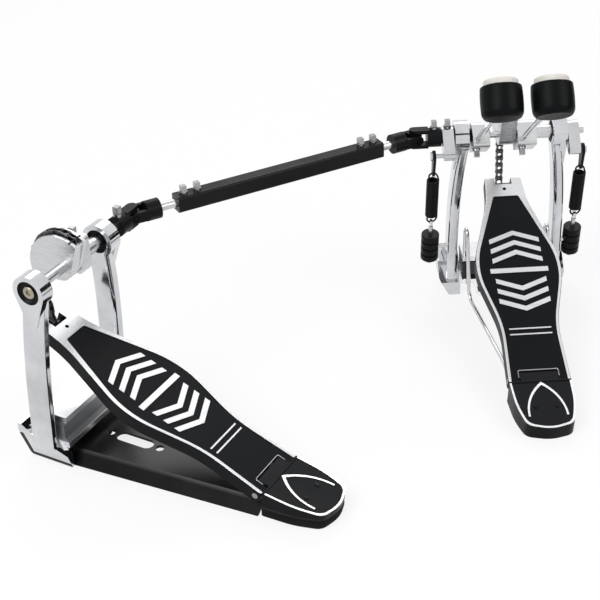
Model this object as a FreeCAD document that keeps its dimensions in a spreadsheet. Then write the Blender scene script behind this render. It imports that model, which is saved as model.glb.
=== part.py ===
import FreeCAD, Part

import math
import os
from collections import namedtuple

import Sketcher
from FreeCAD import Placement, Rotation, Vector

# Double bass drum pedal in millimetres. Each pedal has a frame of its own: x along the axle to the
# right, y forward to the drum, z up from the floor, with the axle above the origin. The main pedal's
# frame is the part's frame, and the second pedal stands turned to its left.

SIZES = {
    # where the axles and the second pedal stand
    "axle_height": 200,
    "second_x": -455.4,
    "second_y": -228.9,
    "second_turn_angle": 57.9,
    # clearances
    "fit_gap": 0.04,
    "side_gap": 0.3,
    "overrun": 4,
    # posts, their housings and feet
    "post_top_x": 48,
    "post_foot_x": 58.5,
    "post_curve_power": 3,
    "post_steps": 4,
    "post_foot_y": 8,
    "post_width": 11.5,
    "post_depth": 25,
    "post_corner": 4,
    "housing_middle": 53,
    "housing_width": 15,
    "housing_radius": 17,
    "teardrop_drop": 34,
    "teardrop_tip": 5,
    "bearing_radius": 12,
    "bearing_width": 9,
    "foot_inner": 48,
    "main_foot_outer": 72,
    "second_foot_outer": 64.5,
    "main_foot_toe": 61,
    "second_foot_toe": 51,
    "foot_height": 46,
    "main_flare_low": 20,
    "second_flare_low": 38,
    "main_flare_high": 36,
    "second_flare_high": 42,
    "main_foot_back": -1,
    "second_foot_back": -15,
    "foot_heel_height": 16,
    "post_root": 22,
    "foot_front": 35,
    "foot_corner": 3,
    # bridge between the feet
    "bridge_back": -12,
    "bridge_front": 20,
    "bridge_bottom": 20,
    "bridge_top": 56,
    "bridge_lip": 6,
    "bridge_recess": 4,
    "web_half": 30,
    "web_back": -2,
    "web_front": 16,
    # hoop clamp
    "tongue_half": 28,
    "tongue_back": -8,
    "tongue_front": 62,
    "tongue_thickness": 6,
    "tongue_corner": 8,
    "clamp_y": 36,
    "clamp_screw_radius": 3,
    "jaw_half": 22,
    "jaw_back": 26,
    "jaw_front": 60,
    "jaw_height": 26,
    "jaw_thickness": 8,
    "jaw_nose": 5,
    "wing_height": 66,
    "wing_half": 18,
    "wing_radius": 3.5,
    "collar_radius": 6,
    "collar_height": 14,
    # footboard
    "hinge_y": -211.3,
    "hinge_z": 23,
    "hinge_radius": 3,
    "hinge_depth": 7,
    "board_reach": 263,
    "board_back": 5,
    "board_thickness": 14,
    "board_skin": 4,
    "board_wall": 3.5,
    "board_heel_half": 32,
    "board_waist_half": 29.5,
    "board_belly_half": 49,
    "board_neck_half": 22.5,
    "board_toe_half": 20,
    "board_waist_share": 0.24,
    "board_belly_share": 0.536,
    "board_neck_share": 0.871,
    "board_waist_bend": 140,
    "board_belly_bend": 100,
    "board_neck_bend": 140,
    "field_neck_bend": 70,
    "board_corner": 3,
    "board_rim": 3,
    "board_soft": 1.2,
    "board_recess": 0.8,
    "field_end_inset": 27,
    "field_end_half": 13.8,
    "notch_half": 9.3,
    "notch_depth": 10,
    "toe_pin_inset": 5,
    "toe_pin_radius": 1.8,
    "toe_pin_half": 13,
    "eyelet_inset": 17,
    "eyelet_radius": 2,
    # raised tread on the footboard
    "chevron_band": 6,
    "chevron_half": 27,
    "chevron_rise": 11,
    "chevron_count": 3,
    "chevron_pitch": 13,
    "tread_middle_share": 0.51,
    "tread_bar_half": 31,
    "tread_bar_band": 6,
    "pinstripe_share": 0.198,
    "pinstripe_half": 22,
    "pinstripe_band": 1.6,
    "pinstripe_count": 2,
    "pinstripe_pitch": 7,
    # heel plate
    "heel_tilt": 11,
    "heel_front": 6.9,
    "heel_front_half": 31.5,
    "heel_middle_half": 30.4,
    "heel_middle_y": 40,
    "heel_side_half": 23.5,
    "heel_side_y": 66.5,
    "heel_length": 73,
    "heel_bow": 120,
    "heel_corner": 12,
    "heel_tail": 34,
    "heel_skin": 5,
    "heel_wall": 4,
    "heel_depth": 40,
    "heel_rim": 2,
    "heel_recess": 0.7,
    "tongue_knuckle_half": 19.5,
    "tongue_nose": 6,
    "tongue_round": 1.2,
    "arch_band": 2,
    "arch_half": 20,
    "arch_start": 9.5,
    "arch_length": 46,
    "arch_bow_share": 0.42,
    "arch_full_share": 0.72,
    "heel_screw_x": 10.5,
    "heel_screw_y": 42,
    "heel_screw_radius": 2.4,
    "heel_screw_height": 2.2,
    # base plate of the second pedal
    "base_top": 12,
    "base_sheet": 3,
    "base_slope": 12.5,
    "base_front_half": 47.5,
    "base_back_half": 32.6,
    "base_front": -15.4,
    "base_back": -213.5,
    "base_slot_y": -55,
    "base_slot_length": 42,
    "base_slot_width": 14,
    "base_hole_gap": 29,
    "base_hole_radius": 4.5,
    "base_screw_x": 22,
    "base_screw_y": 6,
    "base_screw_radius": 2.5,
    "base_screw_head": 4.5,
    "base_screw_head_height": 3,
    "base_screw_length": 10,
    "pad_half": 12,
    "pad_length": 30,
    "pad_front_y": 12,
    # axles
    "axle_radius": 4,
    "sleeve_radius": 7,
    "axle_end": 80,
    "sub_axle_end": -22,
    "sub_axle_inside": -68,
    "second_axle_radius": 5,
    "second_axle_end": 57.5,
    # cam and chain
    "chain_x": -4,
    "chain_pitch": 8,
    "chain_radius": 34,
    "drop_links": 9,
    "link_pairs": 2,
    "wrap_links": 5,
    "plate_radius": 3.5,
    "plate_thickness": 0.9,
    "inner_half": 1.6,
    "roller_radius": 2.5,
    "link_pin_radius": 1.15,
    "link_pin_half": 4.3,
    "cam_gap": 0.7,
    "cheek_thickness": 3.5,
    "cheek_radius": 34.5,
    "cam_bed_radius": 24,
    "cam_seat_angle": 17,
    "cam_hub_radius": 12,
    "cam_from_angle": -24,
    "cam_to_angle": 128,
    "cam_boss_width": 15,
    # beaters and hubs
    "beater_lean_angle": 53,
    "beater_swing_angle": 47,
    "hub_width": 20,
    "main_hub_x": 15.5,
    "sub_hub_x": -33.5,
    "sub_hub_width": 18,
    "hub_front": 12,
    "hub_back": 17,
    "hub_low": 13,
    "hub_high": 20,
    "hub_corner": 4,
    "shaft_radius": 3,
    "shaft_offset": 10,
    "shaft_aside": 4.5,
    "shaft_tail": 26,
    "head_height": 179,
    "head_radius": 20.8,
    "head_back": 12.4,
    "head_front": 19.4,
    "head_back_round": 5,
    "head_front_round": 2.5,
    "shaft_in_head": 6,
    "felt_radius": 17.2,
    "felt_thickness": 7,
    "felt_round": 3,
    # square-headed screws
    "bolt_radius": 2.5,
    "bolt_collar": 4.2,
    "bolt_collar_height": 2.2,
    "bolt_square": 5.6,
    "bolt_square_height": 6.5,
    # spring side
    "rocker_gap": 1,
    "rocker_width": 12,
    "rocker_radius": 11,
    "rocker_tip": 5.5,
    "rocker_arm": 24,
    "rocker_pin_radius": 2.4,
    "rocker_pin_head": 4.6,
    "rocker_pin_head_width": 2,
    "main_spring_x": 76,
    "sub_spring_x": -84,
    "hook_thickness": 3,
    "hook_half": 7,
    "hook_foot_half": 4.6,
    "hook_hole": 2.2,
    "hook_slot_gap": 0.5,
    "barrel_height": 66,
    "barrel_radius": 10,
    "barrel_half": 17,
    "barrel_groove": 0.9,
    "barrel_groove_width": 2,
    "barrel_groove_step": 9,
    "eye_height": 33,
    "eye_radius": 5,
    "eye_thickness": 3,
    "eye_bolt_radius": 2.5,
    "eye_bolt_tail": 24,
    "stud_radius": 3.2,
    "stud_depth": 7,
    "stud_in_barrel": 4,
    "coil_radius": 6,
    "wire_radius": 0.95,
    "coil_pitch": 2.4,
    "hook_drop": 20.3,
    "loop_radius": 4.6,
    # joints of the drive link
    "main_joint_x": -103,
    "second_joint_x": 105,
    "fork_depth": 13.5,
    "fork_gap": 13,
    "fork_ear": 4,
    "fork_ear_gap": 0.9,
    "yoke_radius": 10.5,
    "socket_length": 15,
    "socket_floor": 1.5,
    "cross_gap": 0.5,
    "cross_pin": 2.2,
    "open_pivot_gap": 0.9,
    # drive link
    "link_rod_radius": 4.5,
    "link_tube_side": 17,
    "link_tube_corner": 2.5,
    "link_tube_start": 43,
    "link_tube_end": 47,
    "link_rod_inside": 60,
    "link_bolt_inset": 9,
    "link_bolt_step": 15,
    # radius rods
    "rod_radius": 2.2,
    "rod_floor_gap": 1.6,
    "rod_heel_x": 23,
    "rod_straight": 70,
    "rod_frame_x": 40,
    "rod_top_x": 44.8,
    "rod_y": -17,
    "rod_top": 90,
    "rod_crook": 6,
    "rod_bend": 12,
}

doc = FreeCAD.newDocument("double_bass_drum_pedal")
sheet = doc.addObject("Spreadsheet::Sheet", "sizes")
for row, (alias, number) in enumerate(SIZES.items(), start=1):
    sheet.set("A%d" % row, alias)
    sheet.set("B%d" % row, str(number))
    sheet.setAlias("B%d" % row, alias)
doc.recompute()


class SheetValues:
    """Gives a named size of the sheet as a plain number."""

    def __getattr__(self, name):
        return float(sheet.get(name))


v = SheetValues()
nodes = []
X = Vector(1, 0, 0)
Y = Vector(0, 1, 0)
Z = Vector(0, 0, 1)
FULL_TURN = 360
HALF_TURN = 180
THIRD_TURN = 120
DIAGONAL = X + Y + Z
SLANT_SHARE = math.sqrt(0.5)
QUARTER_TURN = 90

Pedal = namedtuple("Pedal", "name place heel_floor")


def moved(x=0, y=0, z=0):
    """A shift without a turn."""
    return Placement(Vector(x, y, z), Rotation())


def turned(axis, degrees, base=Vector()):
    """A turn about an axis through a point of the target frame."""
    return Placement(base, Rotation(axis, degrees))


def keep(obj, label, place):
    """Names a finished sub-part and sets it in its place."""
    obj.Label = label
    obj.Placement = place
    nodes.append(obj)
    return obj


def keep_shape(label, shape, place):
    """Keeps a shape made with the kernel's own functions as a sub-part."""
    feature = doc.addObject("Part::Feature", label)
    feature.Shape = shape
    return keep(feature, label, place)


# Outlines: lists of lines and arcs in the plane of a sketch.


def flat(point):
    return Vector(point[0], point[1], 0)


def rounded(corners):
    """A closed outline through corners (x, y, radius), each rounded by an arc of its radius."""
    spots = []
    count = len(corners)
    for i, (x, y, radius) in enumerate(corners):
        here = Vector(x, y, 0)
        before = flat(corners[i - 1]) - here
        after = flat(corners[(i + 1) % count]) - here
        before.normalize()
        after.normalize()
        if radius == 0:
            spots.append((here, None, here))
            continue
        half = before.getAngle(after) / 2
        inward = before + after
        inward.normalize()
        reach = radius / math.tan(half)
        middle = here + inward * (radius / math.sin(half) - radius)
        spots.append((here + before * reach, middle, here + after * reach))
    edges = []
    for i, (start, middle, end) in enumerate(spots):
        if middle is not None:
            edges.append(Part.Arc(start, middle, end))
        edges.append(Part.LineSegment(end, spots[(i + 1) % count][0]))
    return edges


def box_outline(left, low, right, high, radius=0):
    return rounded([(left, low, radius), (right, low, radius), (right, high, radius), (left, high, radius)])


def hull(big, big_radius, small, small_radius):
    """The outline round two circles and the two lines that touch both."""
    along = flat(small) - flat(big)
    lean = math.asin((big_radius - small_radius) / along.Length)
    along.normalize()
    side = Vector(-along.y, along.x, 0)
    left = along * math.sin(lean) + side * math.cos(lean)
    right = along * math.sin(lean) - side * math.cos(lean)
    points = [flat(c) + n * r for n in (left, right) for c, r in ((big, big_radius), (small, small_radius))]
    return [
        Part.LineSegment(points[0], points[1]),
        Part.Arc(points[1], flat(small) + along * small_radius, points[3]),
        Part.LineSegment(points[3], points[2]),
        Part.Arc(points[2], flat(big) - along * big_radius, points[0]),
    ]


def on_circle(radius, degrees):
    return Vector(radius * math.cos(math.radians(degrees)), radius * math.sin(math.radians(degrees)), 0)


def sector(radius, hub_radius, start, end):
    """An arc about the axle from start to end, joined by tangents to a hub circle."""
    lead = math.degrees(math.acos(hub_radius / radius))
    arc = [on_circle(radius, a) for a in (start, (start + end) / 2, end)]
    first = end + lead
    last = start - lead + FULL_TURN
    hub = [on_circle(hub_radius, a) for a in (first, (first + last) / 2, last)]
    return [
        Part.Arc(*arc),
        Part.LineSegment(arc[2], hub[0]),
        Part.Arc(*hub),
        Part.LineSegment(hub[2], arc[0]),
    ]


# Sketches and features of a body.


def new_body(name):
    return doc.addObject("PartDesign::Body", name)


def new_sketch(body, role, outlines, offset=None):
    """A sketch on one of the body's own planes, shifted along its normal by an expression."""
    sketch = body.newObject("Sketcher::SketchObject", body.Name + "_sketch")
    plane = next(f for f in body.Origin.OriginFeatures if f.Role == role)
    sketch.AttachmentSupport = [(plane, "")]
    sketch.MapMode = "FlatFace"
    if offset:
        sketch.setExpression("AttachmentOffset.Base.z", offset)
    for outline in outlines:
        for edge in outline:
            sketch.addGeometry(edge)
    return sketch


def round_sketch(body, role, spots, radius, offset=None):
    """A sketch of equal circles whose radius is bound to the sheet."""
    sketch = new_sketch(body, role, [], offset)
    for x, y in spots:
        index = sketch.addGeometry(Part.Circle(Vector(x, y, 0), Z, 1))
        rule = sketch.addConstraint(Sketcher.Constraint("Radius", index, 1))
        sketch.setExpression("Constraints[%d]" % rule, radius)
    return sketch


def pad(body, sketch, length, symmetric=False):
    feature = body.newObject("PartDesign::Pad", body.Name + "_pad")
    feature.Profile = sketch
    feature.setExpression("Length", length)
    if symmetric:
        feature.SideType = "Symmetric"
    return feature


def pocket(body, sketch, length=None, symmetric=False, reverse=False):
    """A pocket of a bound depth, or through everything."""
    feature = body.newObject("PartDesign::Pocket", body.Name + "_pocket")
    feature.Profile = sketch
    if length:
        feature.setExpression("Length", length)
    else:
        feature.Type = "ThroughAll"
    if symmetric:
        feature.SideType = "Symmetric"
    feature.Reversed = reverse
    return feature


def loft(body, role, outlines, offsets):
    """A smooth loft through outlines on shifted planes."""
    sketches = [new_sketch(body, role, [o], s) for o, s in zip(outlines, offsets)]
    feature = body.newObject("PartDesign::AdditiveLoft", body.Name + "_loft")
    feature.Profile = sketches[0]
    feature.Sections = sketches[1:]
    feature.Ruled = False
    return feature


def spin(body, sketch):
    """A full turn of a profile about the sketch's upright axis."""
    feature = body.newObject("PartDesign::Revolution", body.Name + "_turn")
    feature.Profile = sketch
    feature.ReferenceAxis = (sketch, ["V_Axis"])
    feature.Angle = FULL_TURN
    return feature


# Primitives and booleans.


TURN_TO = {"x": Rotation(Y, QUARTER_TURN), "y": Rotation(X, -QUARTER_TURN), "z": Rotation()}


def soften(body, feature, facing, radius):
    """Rounds the edges of a feature's outermost face along a direction."""
    doc.recompute()
    shape = feature.Shape
    face = max(shape.Faces, key=lambda f: facing.dot(f.CenterOfMass))
    names = ["Edge%d" % (i + 1) for i, e in enumerate(shape.Edges) if any(e.isSame(o) for o in face.Edges)]
    soft = body.newObject("PartDesign::Fillet", body.Name + "_soft_edge")
    soft.Base = (feature, names)
    soft.setExpression("Radius", radius)


def cylinder(name, radius, length, axis="x", x="0", y="0", z="0"):
    """A cylinder that starts at (x, y, z) and runs along an axis, all bound to the sheet."""
    solid = doc.addObject("Part::Cylinder", name + "_round")
    solid.setExpression("Radius", radius)
    solid.setExpression("Height", length)
    solid.Placement = Placement(Vector(), TURN_TO[axis])
    for letter, rule in zip("xyz", (x, y, z)):
        solid.setExpression("Placement.Base." + letter, rule)
    return solid


def block(name, size, corner):
    """A box of bound sizes from a bound corner."""
    solid = doc.addObject("Part::Box", name + "_block")
    for side, rule in zip(("Length", "Width", "Height"), size):
        solid.setExpression(side, rule)
    for letter, rule in zip("xyz", corner):
        solid.setExpression("Placement.Base." + letter, rule)
    return solid


def fuse(name, solids):
    union = doc.addObject("Part::MultiFuse", name + "_union")
    union.Shapes = solids
    union.Refine = True
    return union


def cut(name, solid, tools):
    hole = doc.addObject("Part::Cut", name + "_cut")
    hole.Base = solid
    hole.Tool = tools[0] if len(tools) == 1 else fuse(name + "_tools", tools)
    return hole


def filled(edges):
    """The face inside a closed outline."""
    return Part.Face(Part.Wire([edge.toShape() for edge in edges]))


# Derived frames and angles.


def chain_hang():
    """The footboard's tilt and the chain's top angle, from the chain's own length.

    The toe pin lies where a circle about the hinge meets a circle about the axle: the chain is a
    whole number of pitches from the toe pin to where it touches the cam.
    """
    reach = v.board_reach - v.toe_pin_inset
    straight = v.drop_links * v.chain_pitch
    to_axle = Vector(-v.hinge_y, v.axle_height - v.hinge_z, 0)
    swing = math.hypot(straight, v.chain_radius)
    spread = (reach ** 2 + to_axle.Length ** 2 - swing ** 2) / (2 * reach * to_axle.Length)
    tilt = math.degrees(math.atan2(to_axle.y, to_axle.x) - math.acos(spread))
    toe_y = v.hinge_y + reach * math.cos(math.radians(tilt))
    toe_z = v.hinge_z + reach * math.sin(math.radians(tilt)) - v.axle_height
    touch = math.degrees(math.atan2(toe_z, toe_y) + math.acos(v.chain_radius / swing))
    return tilt, touch, toe_y, toe_z


def spring_line():
    """The spring's lean, and the axle's height along it from the barrel's middle."""
    half = math.radians(v.beater_swing_angle / 2)
    aside = v.rocker_arm * (1 + math.cos(half)) / 2
    drop = v.axle_height - v.barrel_height
    return math.degrees(math.asin(aside / drop)), math.sqrt(drop ** 2 - aside ** 2)


BOARD_TILT, CHAIN_TOUCH, TOE_Y, TOE_Z = chain_hang()
SPRING_LEAN, AXLE_ALONG_SPRING = spring_line()
ROCKER_REST = SPRING_LEAN + v.beater_swing_angle / 2
PIN_ALONG_SPRING = AXLE_ALONG_SPRING - v.rocker_arm * math.sin(math.radians(v.beater_swing_angle / 2))
AT_AXLE = moved(z=v.axle_height)
AT_HINGE = moved(y=v.hinge_y, z=v.hinge_z)
BEATER_FRAME = AT_AXLE * turned(X, v.beater_lean_angle)
BOARD_FRAME = AT_HINGE * turned(X, BOARD_TILT)
HEEL_FRAME = AT_HINGE * turned(X, v.heel_tilt)
MAIN = Pedal("main", Placement(), 0)
SECOND_PLACE = turned(Z, v.second_turn_angle, Vector(v.second_x, v.second_y, 0))
SECOND = Pedal("second", SECOND_PLACE, v.base_top)
CHAIN_HALF = v.link_pin_half + v.cam_gap
HOUSING_OUT = v.housing_middle + v.housing_width / 2


def post_share(z):
    """How far down a post a height is, from its housing to the top of its foot."""
    return (v.axle_height - z) / (v.axle_height - v.foot_height)


def post_x(z):
    """The middle of a curved post at a height, across the pedal: steep below, leaning in to the housing."""
    left = max(1 - post_share(z), 0) ** v.post_curve_power
    return v.post_foot_x + (v.post_top_x - v.post_foot_x) * left


def post_y(z):
    """The middle of a leaning post at a height, along the pedal."""
    return v.post_foot_y * post_share(z)


# Frame of a pedal.


def make_post(pedal, side, label):
    """A curved post with its foot, bearing housing, teardrop boss and stud hole."""
    body = new_body(label)
    half_width = v.post_width / 2
    half_depth = v.post_depth / 2
    toe = getattr(v, pedal.name + "_foot_toe")
    flare = getattr(v, pedal.name + "_foot_outer")
    low, high = (getattr(v, pedal.name + end) for end in ("_flare_low", "_flare_high"))
    foot = [(v.foot_inner, 0, 0), (toe, 0, v.foot_corner), (flare, low, v.foot_corner),
            (flare, high, v.foot_corner), (v.post_foot_x + half_width, v.foot_height, 0),
            (v.foot_inner, v.foot_height, 0)]
    foot = [(side * x, z, r) for x, z, r in foot]
    back = "sizes.%s_foot_back" % pedal.name
    pad(body, new_sketch(body, "XZ_Plane", [rounded(foot)], "-sizes.foot_front"),
        "sizes.foot_front - " + back)
    heel = getattr(v, pedal.name + "_foot_back")
    over = v.foot_height + v.overrun
    slope = [(heel - v.overrun, v.foot_heel_height, 0), (heel, v.foot_heel_height, 0),
             (v.foot_front - v.overrun, v.foot_height, 0), (v.foot_front, over, 0),
             (heel - v.overrun, over, 0)]
    pocket(body, new_sketch(body, "YZ_Plane", [rounded(slope)]), None, True)
    sections = []
    rises = []
    steps = int(v.post_steps)
    for i in range(steps + 1):
        share = i / steps
        z = v.post_root + (v.axle_height - v.post_root) * share
        x, y = side * post_x(z), post_y(z)
        sections.append(box_outline(x - half_width, y - half_depth, x + half_width, y + half_depth,
                                    v.post_corner))
        rises.append("sizes.post_root + (sizes.axle_height - sizes.post_root) * %s" % share)
    loft(body, "XY_Plane", sections, rises)
    inner = "sizes.housing_middle - sizes.housing_width / 2"
    outer = "sizes.housing_middle + sizes.housing_width / 2"
    start = inner if side > 0 else "-(%s)" % outer
    centre = (0, v.axle_height)
    pad(body, round_sketch(body, "YZ_Plane", [centre], "sizes.housing_radius", start), "sizes.housing_width")
    tip = (0, v.axle_height - v.teardrop_drop)
    drop = hull(centre, v.housing_radius, tip, v.teardrop_tip)
    start = "sizes.housing_middle" if side > 0 else "-(%s)" % outer
    pad(body, new_sketch(body, "YZ_Plane", [drop], start), "sizes.housing_width / 2")
    pocket(body, round_sketch(body, "YZ_Plane", [centre], "sizes.bearing_radius + sizes.fit_gap"), None, True)
    if pedal is MAIN:
        stud_out = side * (post_x(v.barrel_height) + half_width - v.stud_depth)
        stud = round_sketch(body, "YZ_Plane", [(0, v.barrel_height)], "sizes.stud_radius + sizes.fit_gap")
        stud.AttachmentOffset = moved(z=stud_out)
        pocket(body, stud, "sizes.stud_depth + sizes.main_foot_outer", False, side > 0)
    return keep(body, label, pedal.place)


def make_bridge(pedal, label):
    """The beam between the feet, recessed on both sides, with its web down to the plate below."""
    body = new_body(label)
    lip = v.bridge_lip
    dent = v.bridge_recess
    low, high = v.bridge_bottom, v.bridge_top
    back, front = v.bridge_back, v.bridge_front
    profile = [(back, low, 0), (front, low, 0), (front, low + lip, 0), (front - dent, low + lip + dent, 0),
               (front - dent, high - lip - dent, 0), (front, high - lip, 0), (front, high, 0),
               (back, high, 0),
               (back, high - lip, 0), (back + dent, high - lip - dent, 0), (back + dent, low + lip + dent, 0),
               (back, low + lip, 0)]
    pad(body, new_sketch(body, "YZ_Plane", [rounded(profile)]), "2 * sizes.foot_inner", True)
    web = box_outline(-v.web_half, v.web_back, v.web_half, v.web_front)
    floor = "0" if pedal is MAIN else "sizes.base_top"
    pad(body, new_sketch(body, "XY_Plane", [web], floor),
        "sizes.bridge_bottom + sizes.bridge_lip - (%s)" % floor)
    if pedal is MAIN:
        tongue = [(-v.tongue_half, v.tongue_back, 0), (v.tongue_half, v.tongue_back, 0),
                  (v.tongue_half, v.tongue_front, v.tongue_corner),
                  (-v.tongue_half, v.tongue_front, v.tongue_corner)]
        pad(body, new_sketch(body, "XY_Plane", [rounded(tongue)]), "sizes.tongue_thickness")
        hole = round_sketch(body, "XY_Plane", [(0, v.clamp_y)], "sizes.clamp_screw_radius + sizes.fit_gap",
                            "sizes.tongue_thickness")
        pocket(body, hole)
    else:
        spots = [(side * v.base_screw_x, v.base_screw_y) for side in (-1, 1)]
        holes = round_sketch(body, "XY_Plane", spots, "sizes.base_screw_radius + sizes.fit_gap",
                             "sizes.base_top")
        pocket(body, holes, "sizes.base_screw_length", False, True)
    return keep(body, label, pedal.place)


def make_bearings():
    """Four bearing rings: the sub axle's, the main axle's and the second axle's two."""
    spots = [(MAIN, -1, v.sleeve_radius), (MAIN, 1, v.axle_radius),
             (SECOND, -1, v.second_axle_radius), (SECOND, 1, v.second_axle_radius)]
    rings = []
    for pedal, side, shaft in spots:
        start = side * v.housing_middle - v.bearing_width / 2
        place = Vector(start, 0, v.axle_height)
        ring = Part.makeCylinder(v.bearing_radius, v.bearing_width, place, X)
        ring = ring.cut(Part.makeCylinder(shaft + v.fit_gap, v.bearing_width, place, X))
        ring.Placement = pedal.place * ring.Placement
        rings.append(ring)
    keep_shape("bearings", Part.makeCompound(rings), Placement())


def make_jaw():
    """The upper jaw of the hoop clamp, with a nose that grips the hoop."""
    body = new_body("hoop_jaw")
    low, high = v.jaw_height, v.jaw_height + v.jaw_thickness
    nose = v.jaw_nose
    profile = [(v.jaw_back, low, 0), (v.jaw_front - 2 * nose, low, 0), (v.jaw_front - nose, low - nose, 0),
               (v.jaw_front, low - nose, 0), (v.jaw_front, high - nose, nose / 2),
               (v.jaw_front - nose, high, nose / 2),
               (v.jaw_back, high, 0)]
    pad(body, new_sketch(body, "YZ_Plane", [rounded(profile)]), "2 * sizes.jaw_half", True)
    hole = round_sketch(body, "XY_Plane", [(0, v.clamp_y)], "sizes.clamp_screw_radius + sizes.side_gap")
    pocket(body, hole, None, True)
    keep(body, "hoop_jaw", MAIN.place)


def make_wing_screw():
    """The clamp's screw with its collar and cross bar."""
    name = "wing_screw"
    shaft = cylinder(name, "sizes.clamp_screw_radius", "sizes.wing_height", "z", "0", "sizes.clamp_y",
                     "sizes.fit_gap")
    collar = cylinder(name, "sizes.collar_radius", "sizes.collar_height", "z", "0", "sizes.clamp_y",
                      "sizes.wing_height - sizes.collar_height")
    bar = cylinder(name, "sizes.wing_radius", "2 * sizes.wing_half", "x", "-sizes.wing_half", "sizes.clamp_y",
                   "sizes.wing_height")
    keep(fuse(name, [shaft, collar, bar]), name, MAIN.place)


# Footboard and heel.


def board_edge(inset, start, neck_y, neck_bend):
    """Corners of the footboard's right edge from its heel to its neck, drawn in by an inset."""
    reach = v.board_reach
    return [(v.board_heel_half - inset, start, v.board_corner),
            (v.board_waist_half - inset, reach * v.board_waist_share, v.board_waist_bend),
            (v.board_belly_half - inset, reach * v.board_belly_share, v.board_belly_bend),
            (v.board_neck_half - inset, neck_y, neck_bend)]


def both_sides(right):
    """A closed run of corners from those of the right side."""
    return right + [(-x, y, r) for x, y, r in reversed(right)]


def board_corners(inset, start, end):
    """Corners of the footboard's outline, or of the hollow inside it."""
    neck_y = v.board_reach * v.board_neck_share
    right = board_edge(inset, start, neck_y, v.board_neck_bend)
    return both_sides(right + [(v.board_toe_half - inset, end, v.board_corner)])


def field_corners():
    """Corners of the dark field: the footboard's outline drawn in by the rim."""
    neck_y = v.board_reach * v.board_neck_share - v.notch_depth
    right = board_edge(v.board_rim, -v.board_back - v.overrun, neck_y, v.field_neck_bend)
    return both_sides(right + [(v.field_end_half, v.board_reach - v.field_end_inset, v.board_corner)])


def chevron(y, rise):
    """A V band about the middle line: its point rises by rise from its arms."""
    half = v.chevron_half
    band = v.chevron_band
    return rounded([(-half, y, 0), (0, y + rise, 0), (half, y, 0), (half, y + band, 0),
                    (0, y + rise + band, 0), (-half, y + band, 0)])


def bar(y, half, band):
    return box_outline(-half, y - band / 2, half, y + band / 2)


def tread_outlines():
    """Raised tread: chevrons to the toe and to the heel about a bar, and two pinstripes."""
    middle = v.board_reach * v.tread_middle_share
    outlines = [bar(middle, v.tread_bar_half, v.tread_bar_band)]
    for step in range(int(v.chevron_count)):
        shift = v.chevron_pitch * (step + 1) - v.chevron_band / 2
        outlines.append(chevron(middle + shift, v.chevron_rise))
        outlines.append(chevron(middle - shift - v.chevron_band, -v.chevron_rise))
    for step in range(int(v.pinstripe_count)):
        y = v.board_reach * v.pinstripe_share + step * v.pinstripe_pitch
        outlines.append(bar(y, v.pinstripe_half, v.pinstripe_band))
    return outlines


def make_footboard(pedal, label):
    """A cast footboard: a shell with a sunk field, a raised tread, hinge ears and a toe notch."""
    body = new_body(label)
    outline = board_corners(0, -v.board_back, v.board_reach)
    under = "sizes.hinge_depth - sizes.board_thickness"
    plate = pad(body, new_sketch(body, "XY_Plane", [rounded(outline)], under), "sizes.board_thickness")
    soften(body, plate, Z, "sizes.board_soft")
    start = v.tongue_knuckle_half
    end = v.board_reach - v.notch_depth - v.board_thickness
    hollow = board_corners(v.board_wall, start, end)
    pocket(body, new_sketch(body, "XY_Plane", [rounded(hollow)], "sizes.hinge_depth - sizes.board_skin"))
    field = [rounded(field_corners())] + tread_outlines()
    pocket(body, new_sketch(body, "XY_Plane", field, "sizes.hinge_depth"), "sizes.board_recess")
    gap = v.side_gap
    heel_notch = box_outline(-v.tongue_knuckle_half - gap, -v.board_back - v.overrun,
                             v.tongue_knuckle_half + gap,
                             v.hinge_depth + 2 * gap)
    toe = box_outline(-v.notch_half, v.board_reach - v.notch_depth, v.notch_half, v.board_reach + v.overrun)
    pocket(body, new_sketch(body, "XY_Plane", [heel_notch, toe], "sizes.hinge_depth"))
    eyelet = round_sketch(body, "XY_Plane", [(0, v.board_reach - v.eyelet_inset)], "sizes.eyelet_radius",
                          "sizes.hinge_depth")
    pocket(body, eyelet)
    pocket(body, round_sketch(body, "YZ_Plane", [(0, 0)], "sizes.hinge_radius + sizes.fit_gap"), None, True)
    toe_pin = round_sketch(body, "YZ_Plane", [(v.board_reach - v.toe_pin_inset, 0)],
                           "sizes.toe_pin_radius + sizes.fit_gap")
    pocket(body, toe_pin, None, True)
    return keep(body, label, pedal.place * BOARD_FRAME)


def heel_corners(inset):
    """Corners of the heel plate's outline behind the hinge, drawn in by an inset."""
    front = -v.heel_front - inset
    right = [(v.heel_front_half - inset, front, 0),
             (v.heel_middle_half - inset, -v.heel_middle_y, v.heel_bow),
             (v.heel_side_half - inset, -v.heel_side_y + inset, v.heel_corner)]
    left = [(-x, y, r) for x, y, r in reversed(right)]
    return right + [(0, -v.heel_length + inset, v.heel_tail)] + left


def arch_outline():
    """A pointed arch line on the heel plate with bowed sides, open to the back."""
    half, band = v.arch_half, v.arch_band
    top, foot = -v.arch_start, -v.arch_start - v.arch_length
    bow_y = top - v.arch_length * v.arch_bow_share
    bow_x = half * v.arch_full_share
    outer = [Vector(half, foot, 0), Vector(bow_x, bow_y, 0), Vector(0, top, 0)]
    inner = [Vector(half - band, foot, 0), Vector(bow_x - band, bow_y - band / 2, 0),
             Vector(0, top - 2 * band, 0)]
    mirror = [[Vector(-p.x, p.y, 0) for p in side] for side in (outer, inner)]
    return [Part.Arc(*outer), Part.Arc(*reversed(mirror[0])), Part.LineSegment(mirror[0][0], mirror[1][0]),
            Part.Arc(*mirror[1]), Part.Arc(*reversed(inner)), Part.LineSegment(inner[0], outer[0])]


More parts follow.
